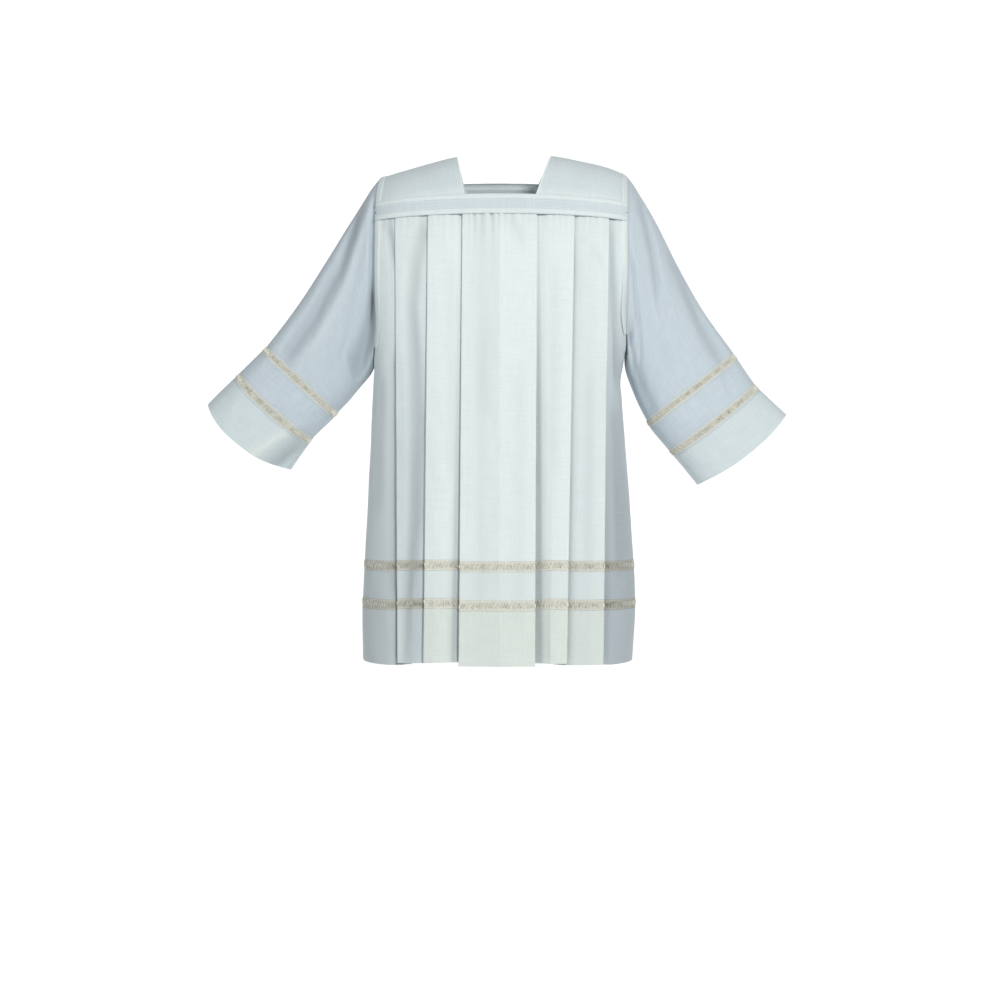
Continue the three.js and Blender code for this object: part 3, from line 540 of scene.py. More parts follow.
def grid_piece(name, points, uv, material, attributes, thickness=None, tube=False):
    rows, columns = points.shape[:2]
    bm = bmesh.new()
    bmesh.ops.create_grid(bm, x_segments=columns - 1, y_segments=rows - 1, size=1.0)
    mesh = bpy.data.meshes.new(name)
    bm.to_mesh(mesh)
    bm.free()
    flat = values_of(mesh.vertices, "co")
    column = np.rint((flat[:, 0] + 1) / 2 * (columns - 1)).astype(int)
    row = np.rint((flat[:, 1] + 1) / 2 * (rows - 1)).astype(int)
    mesh.vertices.foreach_set("co", (points[row, column] * MM).ravel())
    layer = mesh.uv_layers.new(name="UVMap")
    corners = np.empty(len(mesh.loops), dtype=np.int32)
    mesh.loops.foreach_get("vertex_index", corners)
    layer.data.foreach_set("uv", (uv[row, column][corners] * MM).ravel())
    for key, values in attributes.items():
        spread = np.broadcast_to(values, points.shape[:2])[row, column]
        mesh.attributes.new(key, "FLOAT", "POINT").data.foreach_set("value", spread)
    mesh.materials.append(material)
    piece = placed(name, mesh)
    if tube:
        bm = bmesh.new()
        bm.from_mesh(mesh)
        bmesh.ops.remove_doubles(bm, verts=bm.verts, dist=MERGE_DISTANCE)
        bm.to_mesh(mesh)
        bm.free()
    outwards(mesh, points, tube)
    if thickness:
        solid = piece.modifiers.new("thickness", "SOLIDIFY")
        solid.thickness = thickness * MM
        solid.offset = 0
        apply_modifiers(piece)
    piece.data.polygons.foreach_set("use_smooth", np.ones(len(piece.data.polygons), dtype=bool))
    piece.data.set_sharp_from_angle(angle=math.radians(SHARP_ANGLE))
    return piece


def values_of(items, name, size=3):
    values = np.empty(len(items) * size)
    items.foreach_get(name, values)
    return values.reshape(-1, size)


def outwards(mesh, points, tube):
    """Turns the faces of a sheet so that they look away from the wearer."""
    centre = points.reshape(-1, 3).mean(axis=0) * MM
    if not tube:
        centre[1] = 0
    normals, centres, areas = (
        values_of(mesh.polygons, name, size) for name, size in (("normal", 3), ("center", 3), ("area", 1)))
    if (normals * (centres - centre) * areas).sum() < 0:
        mesh.flip_normals()


def apply_modifiers(piece):
    depsgraph = bpy.context.evaluated_depsgraph_get()
    made = bpy.data.meshes.new_from_object(piece.evaluated_get(depsgraph))
    old = piece.data
    piece.modifiers.clear()
    piece.data = made
    bpy.data.meshes.remove(old)


def join(name, pieces):
    """One object from several, with their materials kept."""
    with bpy.context.temp_override(
        active_object=pieces[0], selected_objects=pieces, selected_editable_objects=pieces, object=pieces[0]
    ):
        bpy.ops.object.join()
    pieces[0].name = name
    pieces[0].data.name = name
    return pieces[0]


def placed(name, data):
    """A new object that holds the mesh, light or camera, in the scene."""
    made = bpy.data.objects.new(name, data)
    bpy.context.scene.collection.objects.link(made)
    return made


def unit(vectors):
    return vectors / np.maximum(np.linalg.norm(vectors, axis=-1, keepdims=True), 1e-9)


def thread(name, line, normals, radius, material, sides, closed=False, swell=1.0, tones=1.0):
    """A round thread along a line of points, its section turned by the cloth's normals."""
    tangents = unit(np.gradient(line, axis=0))
    across = unit(np.cross(tangents, normals))
    up = np.cross(across, tangents)
    turns = np.linspace(0, 2 * np.pi, sides + 1)
    reach = np.reshape(radius * swell, (-1, 1, 1))
    ring = np.cos(turns)[None, :, None] * across[:, None] + np.sin(turns)[None, :, None] * up[:, None]
    points = line[:, None] + ring * reach
    points[:, -1] = points[:, 0]
    if closed:
        points[-1] = points[0]
    lengths = run_of(steps_of(line))
    uv = beside(turns[None] * radius, lengths[:, None])
    return grid_piece(name, points, uv, material, {"layers": np.reshape(tones, (-1, 1))}, tube=True)


# Materials: the colour at full painted shade, the strength of the weave, the threads' dimmed colour for a
# single layer behind and for painted shade, and the scales of its noise
DEEPEST, GRAIN, DARK_GRAIN, FLECK_SHARE, DIM_THREAD, SLEEVE_LIFT = 0.4, 0.75, 0.8, 0.5, 0.54, 1.04
SLUB, FINE_YARN, FLECKS, TWIST = (310, 22), (1500, 70), (190, 140), (900, 900)


def nodes_of(name):
    material = bpy.data.materials.new(name)
    material.use_nodes = True
    tree = material.node_tree
    shader = tree.nodes["Principled BSDF"]
    return material, tree, shader


def adjust(tree, node, inputs):
    """Sets a node's inputs, or links them where they come from another node."""
    for key, value in inputs.items():
        if isinstance(value, bpy.types.NodeSocket):
            tree.links.new(value, node.inputs[key])
        else:
            node.inputs[key].default_value = value


def shader_node(tree, kind, inputs):
    node = tree.nodes.new(f"ShaderNode{kind}")
    adjust(tree, node, inputs)
    return node


def noise(tree, vector, scale, detail=2.0):
    mapping = shader_node(tree, "Mapping", {"Vector": vector, "Scale": (*scale, 1)})
    settings = {"Vector": mapping.outputs["Vector"], "Scale": 1.0, "Detail": detail}
    return shader_node(tree, "TexNoise", settings).outputs["Fac"]


def math_node(tree, operation, a, b):
    node = shader_node(tree, "Math", {0: a, 1: b})
    node.operation = operation
    return node.outputs[0]


def colour_mix(tree, factor, low, high):
    node = shader_node(tree, "Mix", {"Factor": factor})
    node.data_type = "RGBA"
    places = [i for i, socket in enumerate(node.inputs) if socket.type == "RGBA"]
    colours = [(*colour, 1) if isinstance(colour, tuple) else colour for colour in (low, high)]
    adjust(tree, node, dict(zip(places, colours)))
    return [socket for socket in node.outputs if socket.type == "RGBA"][0]


def flat_place(tree):
    """The place on the piece's own flat cloth, from its UV map."""
    uv = tree.nodes.new("ShaderNodeUVMap")
    uv.uv_map = "UVMap"
    return uv.outputs["UV"]


def painted(tree, name):
    """A value painted on the piece's points."""
    node = tree.nodes.new("ShaderNodeAttribute")
    node.attribute_name = name
    return node.outputs["Fac"]


def relief(tree, height, strength, distance):
    bump = shader_node(tree, "Bump", {"Height": height, "Strength": strength, "Distance": distance})
    return bump.outputs["Normal"]


def toned(colour, share):
    return tuple(v * share for v in colour)


def cloth_material(name, single, layered, coarse=1.0):
    """Slub-woven cloth: uneven threads both ways in colour and relief, cooler where it is a single layer, and
    deeper where painted shade lies on the points.
    """
    material, tree, shader = nodes_of(name)
    where = flat_place(tree)
    warp = noise(tree, where, SLUB, 4.0)
    weft = noise(tree, where, SLUB[::-1], 4.0)
    fine_warp = noise(tree, where, FINE_YARN)
    fine_weft = noise(tree, where, FINE_YARN[::-1])
    flecks = math_node(tree, "MULTIPLY", noise(tree, where, FLECKS, 3.0), FLECK_SHARE)
    threads = math_node(tree, "ADD", math_node(tree, "ADD", warp, weft), flecks)
    height = math_node(tree, "ADD", math_node(tree, "ADD", fine_warp, fine_weft), threads)
    layers = painted(tree, "layers")
    base = colour_mix(tree, layers, single, layered)
    # Painted shade: the colour goes towards its deepest where the points carry shade
    base = colour_mix(tree, painted(tree, "shade"), base, toned(single, DEEPEST))
    reach = {"From Min": 1.0, "From Max": 1.5, "To Min": 0.42, "To Max": 0.0}
    grain = shader_node(tree, "MapRange", {"Value": threads, **reach}).outputs["Result"]
    grainy = math_node(tree, "MULTIPLY", grain, GRAIN * coarse)
    dark = colour_mix(tree, layers, toned(single, DARK_GRAIN), toned(layered, DARK_GRAIN))
    adjust(tree, shader, {
        "Base Color": colour_mix(tree, grainy, base, dark),
        "Normal": relief(tree, height, strength=0.4, distance=0.0005),
        "Roughness": 0.82, "Specular IOR Level": 0.25, "Sheen Weight": 0.15, "Sheen Roughness": 0.5})
    return material


def thread_material(name, low, high, roughness, metallic=0.0, margin=None):
    """Twisted thread: colour and relief in fine turns, darker where the cloth behind is a single layer and
    where painted shade is carried over from the cloth, lighter at the painted glints.
    """
    material, tree, shader = nodes_of(name)
    twist = noise(tree, flat_place(tree), TWIST, 1.0)
    dim = colour_mix(tree, twist, toned(low, DIM_THREAD), toned(high, DIM_THREAD))
    base = colour_mix(tree, painted(tree, "layers"), dim, colour_mix(tree, twist, low, high))
    if margin:
        base = colour_mix(tree, painted(tree, "margin"), base, margin)
    normal = relief(tree, twist, strength=0.5, distance=0.0003)
    adjust(tree, shader, {"Base Color": base, "Normal": normal, "Roughness": roughness, "Metallic": metallic})
    return material


# The cloth's colours where it is a single layer and where it lies in several, and those of the threads
COOL = (0.59, 0.67, 0.725)
WHITE = (0.83, 0.91, 0.895)
cloth = cloth_material("slub_cloth", COOL, WHITE)
sleeve_cloth = cloth_material("sleeve_cloth", toned(COOL, SLEEVE_LIFT), WHITE, coarse=1.5)
hem_cloth = cloth_material("doubled_cloth", (0.57, 0.65, 0.71), (0.76, 0.82, 0.77))
cuff_cloth = cloth_material("cuff_cloth", (0.60, 0.69, 0.75), (0.80, 0.87, 0.825))
yoke_cloth = cloth_material("yoke_cloth", (0.66, 0.74, 0.77), (0.88, 0.94, 0.915))
net = thread_material("insertion_net", (0.56, 0.56, 0.50), (0.84, 0.84, 0.75), roughness=0.9, margin=COOL)
ivory = thread_material("ivory_thread", (0.92, 0.91, 0.81), (1.0, 1.0, 0.92), roughness=0.4)
gold = thread_material("gold_thread", (0.64, 0.61, 0.48), (0.96, 0.92, 0.80), roughness=0.4, metallic=0.1)


def sewn_on(piece):
    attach(piece, "root")


def dress(piece, node, slot, flat, area, held="hung", rests_on=(), with_pieces=()):
    sewn_on(piece)
    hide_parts(node)


def cut_of(points):
    """The flat size of a piece: its widest row, its length and its area, in metres."""
    steps = steps_of(points, 1).sum(axis=1) * MM
    length = float(steps_of(points).sum(axis=0).max() * MM)
    a = points[:-1, :-1] - points[1:, 1:]
    b = points[1:, :-1] - points[:-1, 1:]
    area = float(np.linalg.norm(np.cross(a, b), axis=2).sum() / 2 * MM * MM)
    width = max(float(steps.max()), area / length)
    return (round(width, 3), round(length, 3)), min(area, round(width, 3) * round(length, 3))


# Sleeves
def sleeve_folds(side, face, along, height):
    """The sleeve's folds, measured on its flattened side: along it and up it from the underarm line."""
    total = np.zeros(along.shape)
    for fold_face, depth, width, *path in SLEEVE_FOLDS[side]:
        flat = [(a, h * SIDE_SCALE) for a, h in path]
        fold = crease(along, height * SIDE_SCALE, flat, depth, width, FOLD_END)
        total += np.where(face == fold_face, fold, 0)
    return total


def sleeve_points(side, along, turn):
    """Points of a sleeve's middle surface; the turn runs from the top over the front, underarm and back."""
    sign = SIDE_SIGNS[side]
    rows = SLEEVES[side]
    value = {name: at(rows, "along", along, name) for name in SLEEVE_COLUMNS.split()[1:]}
    front = np.sin(turn) >= 0
    face = np.where(front, FRONT, BACK)
    height = (1 + np.cos(turn)) / 2
    square = value["square"]
    own = (1 - np.abs(2 * height - 1) ** square) ** (1 / square)
    level = mix(rows["under_z"][0], rows["top_z"][0], height)
    edge = np.where(front, body_edge(FRONT, side, level), body_edge(BACK, side, level))
    depths = np.where(front, depth_at(FRONT, sign * edge, level), depth_at(BACK, sign * edge, level))
    share = depths / np.where(front, ARMHOLE_DEPTH[FRONT], ARMHOLE_DEPTH[BACK])
    blend = ease(along / SHAPE_BLEND)
    aside = (edge - mix(rows["under_x"][0], rows["top_x"][0], height)) * (1 - blend)
    clearance = (CLEAR_SEAM + CLEAR_UNDERARM * (1 - height) ** 4) * (1 - ease(along / CLEAR_FADES))
    depth = mix(share, own, blend)
    wide, high = value["top_x"] - value["under_x"], value["top_z"] - value["under_z"]
    bow = value["bow"] * depth**3 / np.hypot(wide, high)
    fold = sleeve_folds(side, face, along, height) * np.minimum(1, depth * 1.5)
    fold = fold * ease((along + SLEEVE_FOLD_START) / SLEEVE_FOLD_RUN)
    slack = SLEEVE_SLACK * np.sin(along / 23 + 7 * height) * np.sin(height * 19 + along / 70)
    fold = fold + slack * depth * ease(along / SLEEVE_SLACK_RUN)
    back = value["top_back"] * ease(height) + value["under_back"] * ease(1 - height)
    reach = np.where(front, value["front"], value["back"]) * depth
    return np.stack([
        sign * (mix(value["under_x"], value["top_x"], height) + aside + clearance + bow * high),
        face * (reach - fold) + back,
        mix(value["under_z"], value["top_z"], height) - bow * wide,
    ], axis=-1)


def sleeve_shade(side, along, turn):
    """How much deeper the cloth's colour is, as painted shade, in the folds and along the armhole seam; on
    ridges the value falls below zero, and that is used as painted highlight.
    """
    height = (1 + np.cos(turn)) / 2
    face = np.where(np.sin(turn) >= 0, FRONT, BACK)
    fold = sleeve_folds(side, face, along, height) * np.abs(np.sin(turn)) ** 0.4
    width = mix(UNDERARM_SHADE_WIDTH, ARMHOLE_SHADE_WIDTH, ease(height * 2))
    seam = ARMHOLE_SHADE * np.exp(-((along / width) ** 2)) * np.abs(np.sin(turn))
    return np.minimum(SLEEVE_SHADE * fold + seam, MOST_SHADE)


def sleeve_grid(side, start, end, rows):
    along = np.linspace(start, end, rows + 1)[:, None]
    turn = np.linspace(0, 2 * np.pi, SLEEVE_ROUND + 1)[None]
    along, turn = np.broadcast_arrays(along, turn)
    points = sleeve_points(side, along, turn)
    points[:, -1] = points[:, 0]
    return points, beside(run_of(steps_of(points, 1)), along), sleeve_shade(side, along, turn)


# Insertions: scalloped ivory borders, a raised ivory zigzag and a gold one that slips against it, over a net
CORD_AT, SCALLOP, THREAD_SIDES, NET_THICKNESS, NET_LAYERS_ON_SLEEVE = 9.0, 0.8, 4, 0.5, 0.75
ZIGZAG_SWING, GOLD_SWING, ZIGZAG_SLIP, ZIGZAG_LENGTH, THREAD_STEP = 7.2, 6.0, 1.9, 6.6, 1.1
SLEEVE_SPREAD, EDGE_OVERHANG, MARGIN_STEP = 0.8, 0.6, 0.2


def insertion(name, place, length, closed, tone, spread=1.0):
    """A net with its threads; place(along, across) gives points and normals, across counted upwards."""
    count = max(2, int(round(length / ZIGZAG_LENGTH)))
    steps = int(length / THREAD_STEP)
    along = np.linspace(0, length, steps + 1)
    half = INSERTION / 2 - SEAM_GAP / 2
    edge_at = min(half - SEAM_GAP, spread * (CORD_AT + EDGE_OVERHANG))
    ground_across = np.array([-half, -half / 3, half / 3, half])
    if spread < 1:
        margin_at = edge_at + MARGIN_STEP
        ground_across = np.array([-half, -margin_at, -edge_at, edge_at, margin_at, half])
    points, _normals = place(*np.broadcast_arrays(along[None], ground_across[:, None]))
    if closed:
        points[:, -1] = points[:, 0]
    uv = beside(along[None], ground_across[:, None])
    tones = tone(along)
    margin = (np.abs(ground_across) > edge_at + MARGIN_STEP / 2)[:, None] * (spread < 1)
    painted_on = {"layers": tones, "margin": margin}
    ground = grid_piece(f"{name}_net", points, uv, net, painted_on, NET_THICKNESS, closed)
    cut = cut_of(points)
    parts = []

    def run(label, across, lift, radius, material, swell=1.0):
        line, normals = place(along, across * spread)
        line = line + normals * lift
        if closed:
            line[-1] = line[0]
            normals[-1] = normals[0]
        parts.append(thread(
            f"{name}_{label}", line, normals, radius, material, THREAD_SIDES, closed, swell, glints * tones))

    turns = along / length * 2 * np.pi
    # Painted glints: the threads are made brighter in scattered places along them, a painted highlight
    sparkle = 3 * np.sin(turns * int(length / 17)) * np.sin(turns * int(length / 61) + 2)
    glints = 0.84 + 0.16 * clamp(sparkle)
    wander = 1.1 * np.sin(turns * int(length / 27)) + 0.9 * np.sin(turns * int(length / 43) + 1)
    uneven = 0.9 + 0.14 * np.sin(turns * int(length / 21)) + 0.08 * np.sin(turns * int(length / 13) + 2)
    phase = turns * count + wander
    swing = 2 / np.pi * np.arcsin(np.sin(phase)) * uneven
    slipped = 2 / np.pi * np.arcsin(np.sin(phase + ZIGZAG_SLIP)) * uneven
    outer_swell = 0.78 + 0.22 * np.cos(phase)
    run("outer", ZIGZAG_SWING * swing, lift=0.8, radius=1.0, material=ivory, swell=outer_swell)
    run("mirrored", GOLD_SWING * slipped, lift=0.6, radius=0.5, material=gold)
    for edge in (-1, 1):
        scallop = edge * (CORD_AT - SCALLOP * (1 + edge * swing))
        run("border", scallop, lift=0.15, radius=0.6, material=ivory)
    threads = join(f"{name}_threads", parts)
    sewn_on(threads)
    dress(ground, name, "insertion", *cut, with_pieces=[threads])


def body_insertion(face, top, which):
    name = f"{FACE_NAMES[face]}_insertion_{which}"
    grid = body_rows(face, straight_levels(top, top - INSERTION, INSERTION_ROWS))
    upper, middle, lower = grid["points"]
    along = run_of(np.hypot(np.diff(middle[:, 0]), np.diff(middle[:, 1])))
    half = INSERTION / 2 - SEAM_GAP / 2

    def place(where, across):
        down = ((half - across) / (2 * half))[..., None]
        point = mix(spot(where, along, upper), spot(where, along, lower), down)
        run = unit(spot(where + 0.8, along, middle[:, :2]) - spot(where - 0.8, along, middle[:, :2]))
        normal = np.stack([-face * run[..., 1], face * run[..., 0], np.zeros(run.shape[:-1])], axis=-1)
        return point, unit(normal)

    # The cloth's layers with its painted shade carried over, so the insertion's threads and net are dimmed by
    # the same painted shade
    whiteness = grid["tones"]["layers"][1] * (1 - 1.2 * grid["tones"]["shade"][1])
    insertion(name, place, float(along[-1]), False, lambda where: np.interp(where, along, whiteness))


def sleeve_insertion(side, start, which):
    name = f"sleeve_{side}_insertion_{which}"
    turns = np.linspace(0, 2 * np.pi, 361)
    middle = sleeve_points(side, np.full(turns.shape, start + INSERTION / 2), turns)
    along = run_of(steps_of(middle))
    sign = SIDE_SIGNS[side]

    def place(where, across):
        turn = np.interp(where % (along[-1] + 1e-9), along, turns)
        down = start + INSERTION / 2 - across
        point = sleeve_points(side, down, turn)
        round_it = sleeve_points(side, down, turn + 0.03) - sleeve_points(side, down, turn - 0.03)
        onward = sleeve_points(side, down + 1, turn) - sleeve_points(side, down - 1, turn)
        return point, unit(np.cross(round_it, onward)) * sign

    insertion(name, place, float(along[-1]), True, lambda where: NET_LAYERS_ON_SLEEVE, SLEEVE_SPREAD)


# Stitches, and the strips sewn over the armhole seams: places across them with how high they stand there
STITCH_LENGTH, STITCH_RADIUS, STITCH_DIP, STRIP_THICKNESS = 3.4, 0.28, 0.35, 0.7
ARMHOLE_TRIM = ((-12.0, 0.5), (-11.4, 1.2), (-8.5, 1.6), (-4.5, 1.6), (-0.5, 1.4))
OVER_SLEEVE, TRIM_ROWS, TRIM_START, TRIM_END = (0.6, 1.2, 1.8), 70, 2, 34
ARMHOLE_STRIP_TONES, SHOULDER_STRIP_TONE = (0.8, 0.2), 0.4
STITCH_STANDS = {"strip": 0.45, "neck": 0.7, "band": 0.5}
SHOULDER_TRIM = ((10, 0.4), (9.4, 1.1), (7, 1.5), (3, 1.6), (0, 1.5), (-1.8, 1.2))


def stitches(name, line, normals):
    """A row of stitches along a line: a thread that dips into the cloth between them."""
    lengths = run_of(steps_of(line))
    count = max(4, int(lengths[-1] / STITCH_LENGTH))
    where = np.linspace(0, lengths[-1], count * 3 + 1)
    fine, facing = spot(where, lengths, line), unit(spot(where, lengths, normals))
    dips = np.abs(np.sin(np.linspace(0, count * np.pi, count * 3 + 1)))
    fine = fine + facing * (dips[:, None] - 0.6) * STITCH_DIP
    return thread(name, fine, facing, STITCH_RADIUS, yoke_cloth, THREAD_SIDES)


def build_body(face):
    """The panel, strip and hem of one face, with the insertions between them."""
    word = FACE_NAMES[face]
    strip_levels = straight_levels(STRIP_TOP, STRIP_BOTTOM, STRIP_ROWS)
    hem_levels = straight_levels(HEM_TOP, HEM_LEVEL - SEAM_GAP / 2, HEM_ROWS)
    parts = (
        ("panel", panel_levels(face), cloth, CLOTH, "cloth"),
        ("strip", strip_levels, cloth, CLOTH, "cloth"),
        ("hem", hem_levels, hem_cloth, DOUBLE_CLOTH, "doubled_cloth"),
    )
    for part, levels, material, thickness, slot in parts:
        grid = body_rows(face, levels)
        points, tones = grid["points"], grid["tones"]
        if part == "panel" and face == FRONT:
            gathered = pucker(points, grid["free"])
            points[:, :, 1] += gathered
            tones["shade"] += PUCKER_SHADE * np.maximum(gathered, -0.3)
        if part == "strip":
            tones["shade"] += STRIP_SHADE
        piece = grid_piece(f"{word}_{part}_cloth", points, grid["uv"], material, tones, thickness)
        hangs_from = [f"yoke_band_{word}"] if part == "panel" else []
        dress(piece, f"{word}_{part}", slot, *cut_of(points), rests_on=hangs_from)
    body_insertion(face, PANEL_BOTTOM, "upper")
    body_insertion(face, STRIP_BOTTOM, "lower")


def build_armhole_strips(side):
    """The strips along the armhole, from the yoke seams to the underarm, lying over the sleeve's seam."""
    extra = ARMHOLE_UNDER["right"] - ARMHOLE_UNDER["left"] if side == "right" else 0
    across, lift = np.array(ARMHOLE_TRIM).T
    over = np.array(OVER_SLEEVE)[:, None]
    for face in (FRONT, BACK):
        top, bottom = YOKE_SEAM[face] - YOKE_DROP[face] - TRIM_START, ARMHOLE_UNDER["left"] + TRIM_END
        rows = []
        for z in np.linspace(top, bottom, TRIM_ROWS):
            z = z + float(np.interp(z, STRIP_DROPS["z"], STRIP_DROPS["drop"])) * extra
            line = Line(face, side, lambda x, z=z: np.full(np.shape(x), z))
            row = np.stack([*line.place(line.length + across, lift), np.full(across.shape, z)], axis=1)
            rows.append(np.concatenate([row, row[-1] + unit(row[-1] - row[-2]) * over]))
        whiteness = mix(*ARMHOLE_STRIP_TONES, ease(np.linspace(-1, 1.6, TRIM_ROWS)))
        trim(f"armhole_strip_{side}_{FACE_NAMES[face]}", np.array(rows), face, whiteness)


def trim(name, points, face, whiteness):
    """A narrow strip of yoke cloth with a row of stitches near its edge."""
    uv = beside(np.arange(points.shape[1])[None] * 1.3, points[:, :, 2])
    tones = {"layers": np.reshape(whiteness, (-1, 1))}
    piece = grid_piece(name, points, uv, yoke_cloth, tones, STRIP_THICKNESS)
    normal = shell_normals(points)
    middle = points.shape[0] // 2
    normal *= np.sign(normal[middle, 2, 1]) * face
    seam = stitches(f"{name}_stitches", points[:, 1] + normal[:, 1] * STITCH_STANDS["strip"], normal[:, 1])
    for part in (piece, seam):
        sewn_on(part)


def pucker(points, free):
    """Small gathers just under the front band, strongest right of the centre as the wearer stands."""
    x, z = points[:, :, 0], points[:, :, 2]
    below = seam_level(FRONT, x) - PUCKER_START - z
    fade = np.exp(-np.maximum(below, 0) / PUCKER_FADE) * ease((below + PUCKER_RISE) / PUCKER_RISE)
    zone = PUCKER_LEAST + np.exp(-(((x - PUCKER_AT) / PUCKER_WIDTH) ** 2))
    wave = np.sin(x / 2.3 + 1.3 * np.sin(x / 9)) + 0.5 * np.sin(x / 5.1 + 1)
    return -PUCKER_DEPTH * wave * fade * zone * free


# The shoulder pieces' grid, and the neck's roll
SHOULDER_ROWS, SHOULDER_COLUMNS, ROLL_RADIUS, ROLL_SIDES, SHOULDER_CLOTH = 80, 40, 1.5, 10, CLOTH * 1.3
SHOULDER_TONE, SHOULDER_END_TONE, DRAG, DRAG_LIFT, SHOULDER_FLAT = 0.12, 0.5, 0.9, 0.4, (150, 130)


def build_shoulder(side):
    """A shoulder piece from the back seam over the ridge to the front seam, with its neck roll and strips."""
    sign = SIDE_SIGNS[side]
    turn = np.linspace(-1, 1, SHOULDER_ROWS + 1)[:, None]
    share = np.linspace(0, 1, SHOULDER_COLUMNS + 1)[None]
    amount = np.abs(turn)
    halves = {}
    for face in (FRONT, BACK):
        foot = float(body_edge(face, side, np.array(seam_level(face, sign * YOKE_HALF_WIDTH))))
        chest = float(body_edge(face, side, np.array(CHEST_LEVEL)))
        seam_angle = arch_angle(sign * foot, seam_level(face, sign * foot) + SEAM_GAP / 2)
        edge = mix(chest, ARMHOLE_TOP[side], np.cos(amount * seam_angle) ** 2)
        neck = mix(NECK_RIDGE[side], NECK_SEAM[side, face], amount**NECK_STRAIGHT)
        x = sign * mix(neck, edge, share)
        angle = amount * arch_angle(x, seam_level(face, x) + SEAM_GAP / 2)
        ridge = at(RIDGE, "x", x, "z")
        z = ridge - (ridge - CHEST_LEVEL) * (1 - np.cos(angle))
        depth = depth_at(face, x, z)
        drag = DRAG * np.sin(share * 9 + amount * 4 + face) * np.sin(amount * 3) * np.sin(share * np.pi)
        halves[face] = np.stack([x, face * (depth + drag), z + DRAG_LIFT * drag], axis=2)
    points = np.where((turn > 0)[:, :, None], halves[FRONT], halves[BACK])
    uv = beside(share * SHOULDER_FLAT[0], turn * SHOULDER_FLAT[1])
    name = f"yoke_shoulder_{side}"
    tones = {"layers": SHOULDER_TONE + SHOULDER_END_TONE * ease((amount - 0.75) * 4)}
    piece = grid_piece(f"{name}_cloth", points, uv, yoke_cloth, tones, SHOULDER_CLOTH)
    normal = shell_normals(points) * sign
    ridge_row = SHOULDER_ROWS // 2
    normal *= np.sign(normal[ridge_row, 1, 2])
    roll = thread(f"{name}_roll", points[:, 0], normal[:, 0], ROLL_RADIUS, yoke_cloth, ROLL_SIDES)
    line = stitches(f"{name}_stitches", points[:, 2] + normal[:, 2] * STITCH_STANDS["neck"], normal[:, 2])
    for extra in (roll, line):
        sewn_on(extra)
    dress(piece, name, "yoke_cloth", *cut_of(points), rests_on=["yoke_band_front", "yoke_band_back"])
    edge, inward = points[:, -1], unit(points[:, -3] - points[:, -1])
    strip = np.stack([edge + inward * a + normal[:, -2] * b for a, b in SHOULDER_TRIM], axis=1)
    for face, part in ((BACK, strip[:ridge_row + 1]), (FRONT, strip[ridge_row:])):
        trim(f"shoulder_strip_{side}_{FACE_NAMES[face]}", part, face, SHOULDER_STRIP_TONE)


def shell_normals(points):
    down = np.gradient(points, axis=0)
    across = np.gradient(points, axis=1)
    return unit(np.cross(down, across))


# The bands: where a ridge is highest as a share of the height, how high flat and ridge stand, and the grid
RIDGE_AT, BAND_RISE, RIDGE_RISE, BAND_COLUMNS, STITCHED_ROWS = 0.135, 1.7, 2.1, 131, (15, 20)
# The band's cloth thickness and ripple, the whiteness of its flat, and the painted highlight that makes its
# ridges lighter
BAND_CLOTH, BAND_RIPPLE, BAND_TONE, BAND_RIDGE_HIGHLIGHT = 1.0, 0.25, 0.02, 0.5
BAND_ROWS = ((0, 0.28, 15), (0.32, 0.68, 6), (0.72, 1, 15))


def build_band(face):
    """A yoke band: flat between two rounded ridges, over the seam from armhole to armhole."""
    word = FACE_NAMES[face]
    station = np.sin(np.linspace(-math.pi / 2, math.pi / 2, BAND_COLUMNS))[None]
    down = np.concatenate([np.linspace(*rows) for rows in BAND_ROWS])[:, None]
    half_height = mix(BAND_HALF_HEIGHT, BAND_END_HALF_HEIGHT, station**2)
    offset = half_height * (1 - 2 * down)
    end_level = seam_level(face, YOKE_HALF_WIDTH) + offset
    edges = {side: body_edge(face, side, end_level) - BAND_END for side in SIDE_SIGNS}
    x = station * np.where(station < 0, edges["right"], edges["left"])
    z = seam_level(face, x) + offset
    y = face * depth_at(face, x, z)
    surface = np.stack([x, y, z], axis=2)
    normal = shell_normals(surface)
    normal *= np.sign(normal[:, :, 1:2]) * face
    ridge = clamp(1 - np.abs(np.minimum(down, 1 - down) - RIDGE_AT) / RIDGE_AT)
    rise = BAND_RISE + RIDGE_RISE * np.sqrt(1 - (1 - ridge) ** 2)
    ripple = BAND_RIPPLE * np.sin(x / 6.3 + 1.5 * np.sin(x / 23)) * (0.4 + 0.6 * ridge)
    points = surface + normal * (rise + ripple)[..., None]
    # The ridges are painted lighter than the flat: a painted highlight where they catch the light
    tones = {"layers": BAND_TONE + BAND_RIDGE_HIGHLIGHT * ease(ridge * 2.4)}
    piece = grid_piece(f"yoke_band_{word}_cloth", points, beside(x, z), yoke_cloth, tones, BAND_CLOTH)
    for row in STITCHED_ROWS:
        sewn = points[row] + normal[row] * STITCH_STANDS["band"]
        line = stitches(f"yoke_band_{word}_stitches_{row}", sewn, normal[row])
        sewn_on(line)
    dress(piece, f"yoke_band_{word}", "yoke_cloth", *cut_of(points), held="stretched")


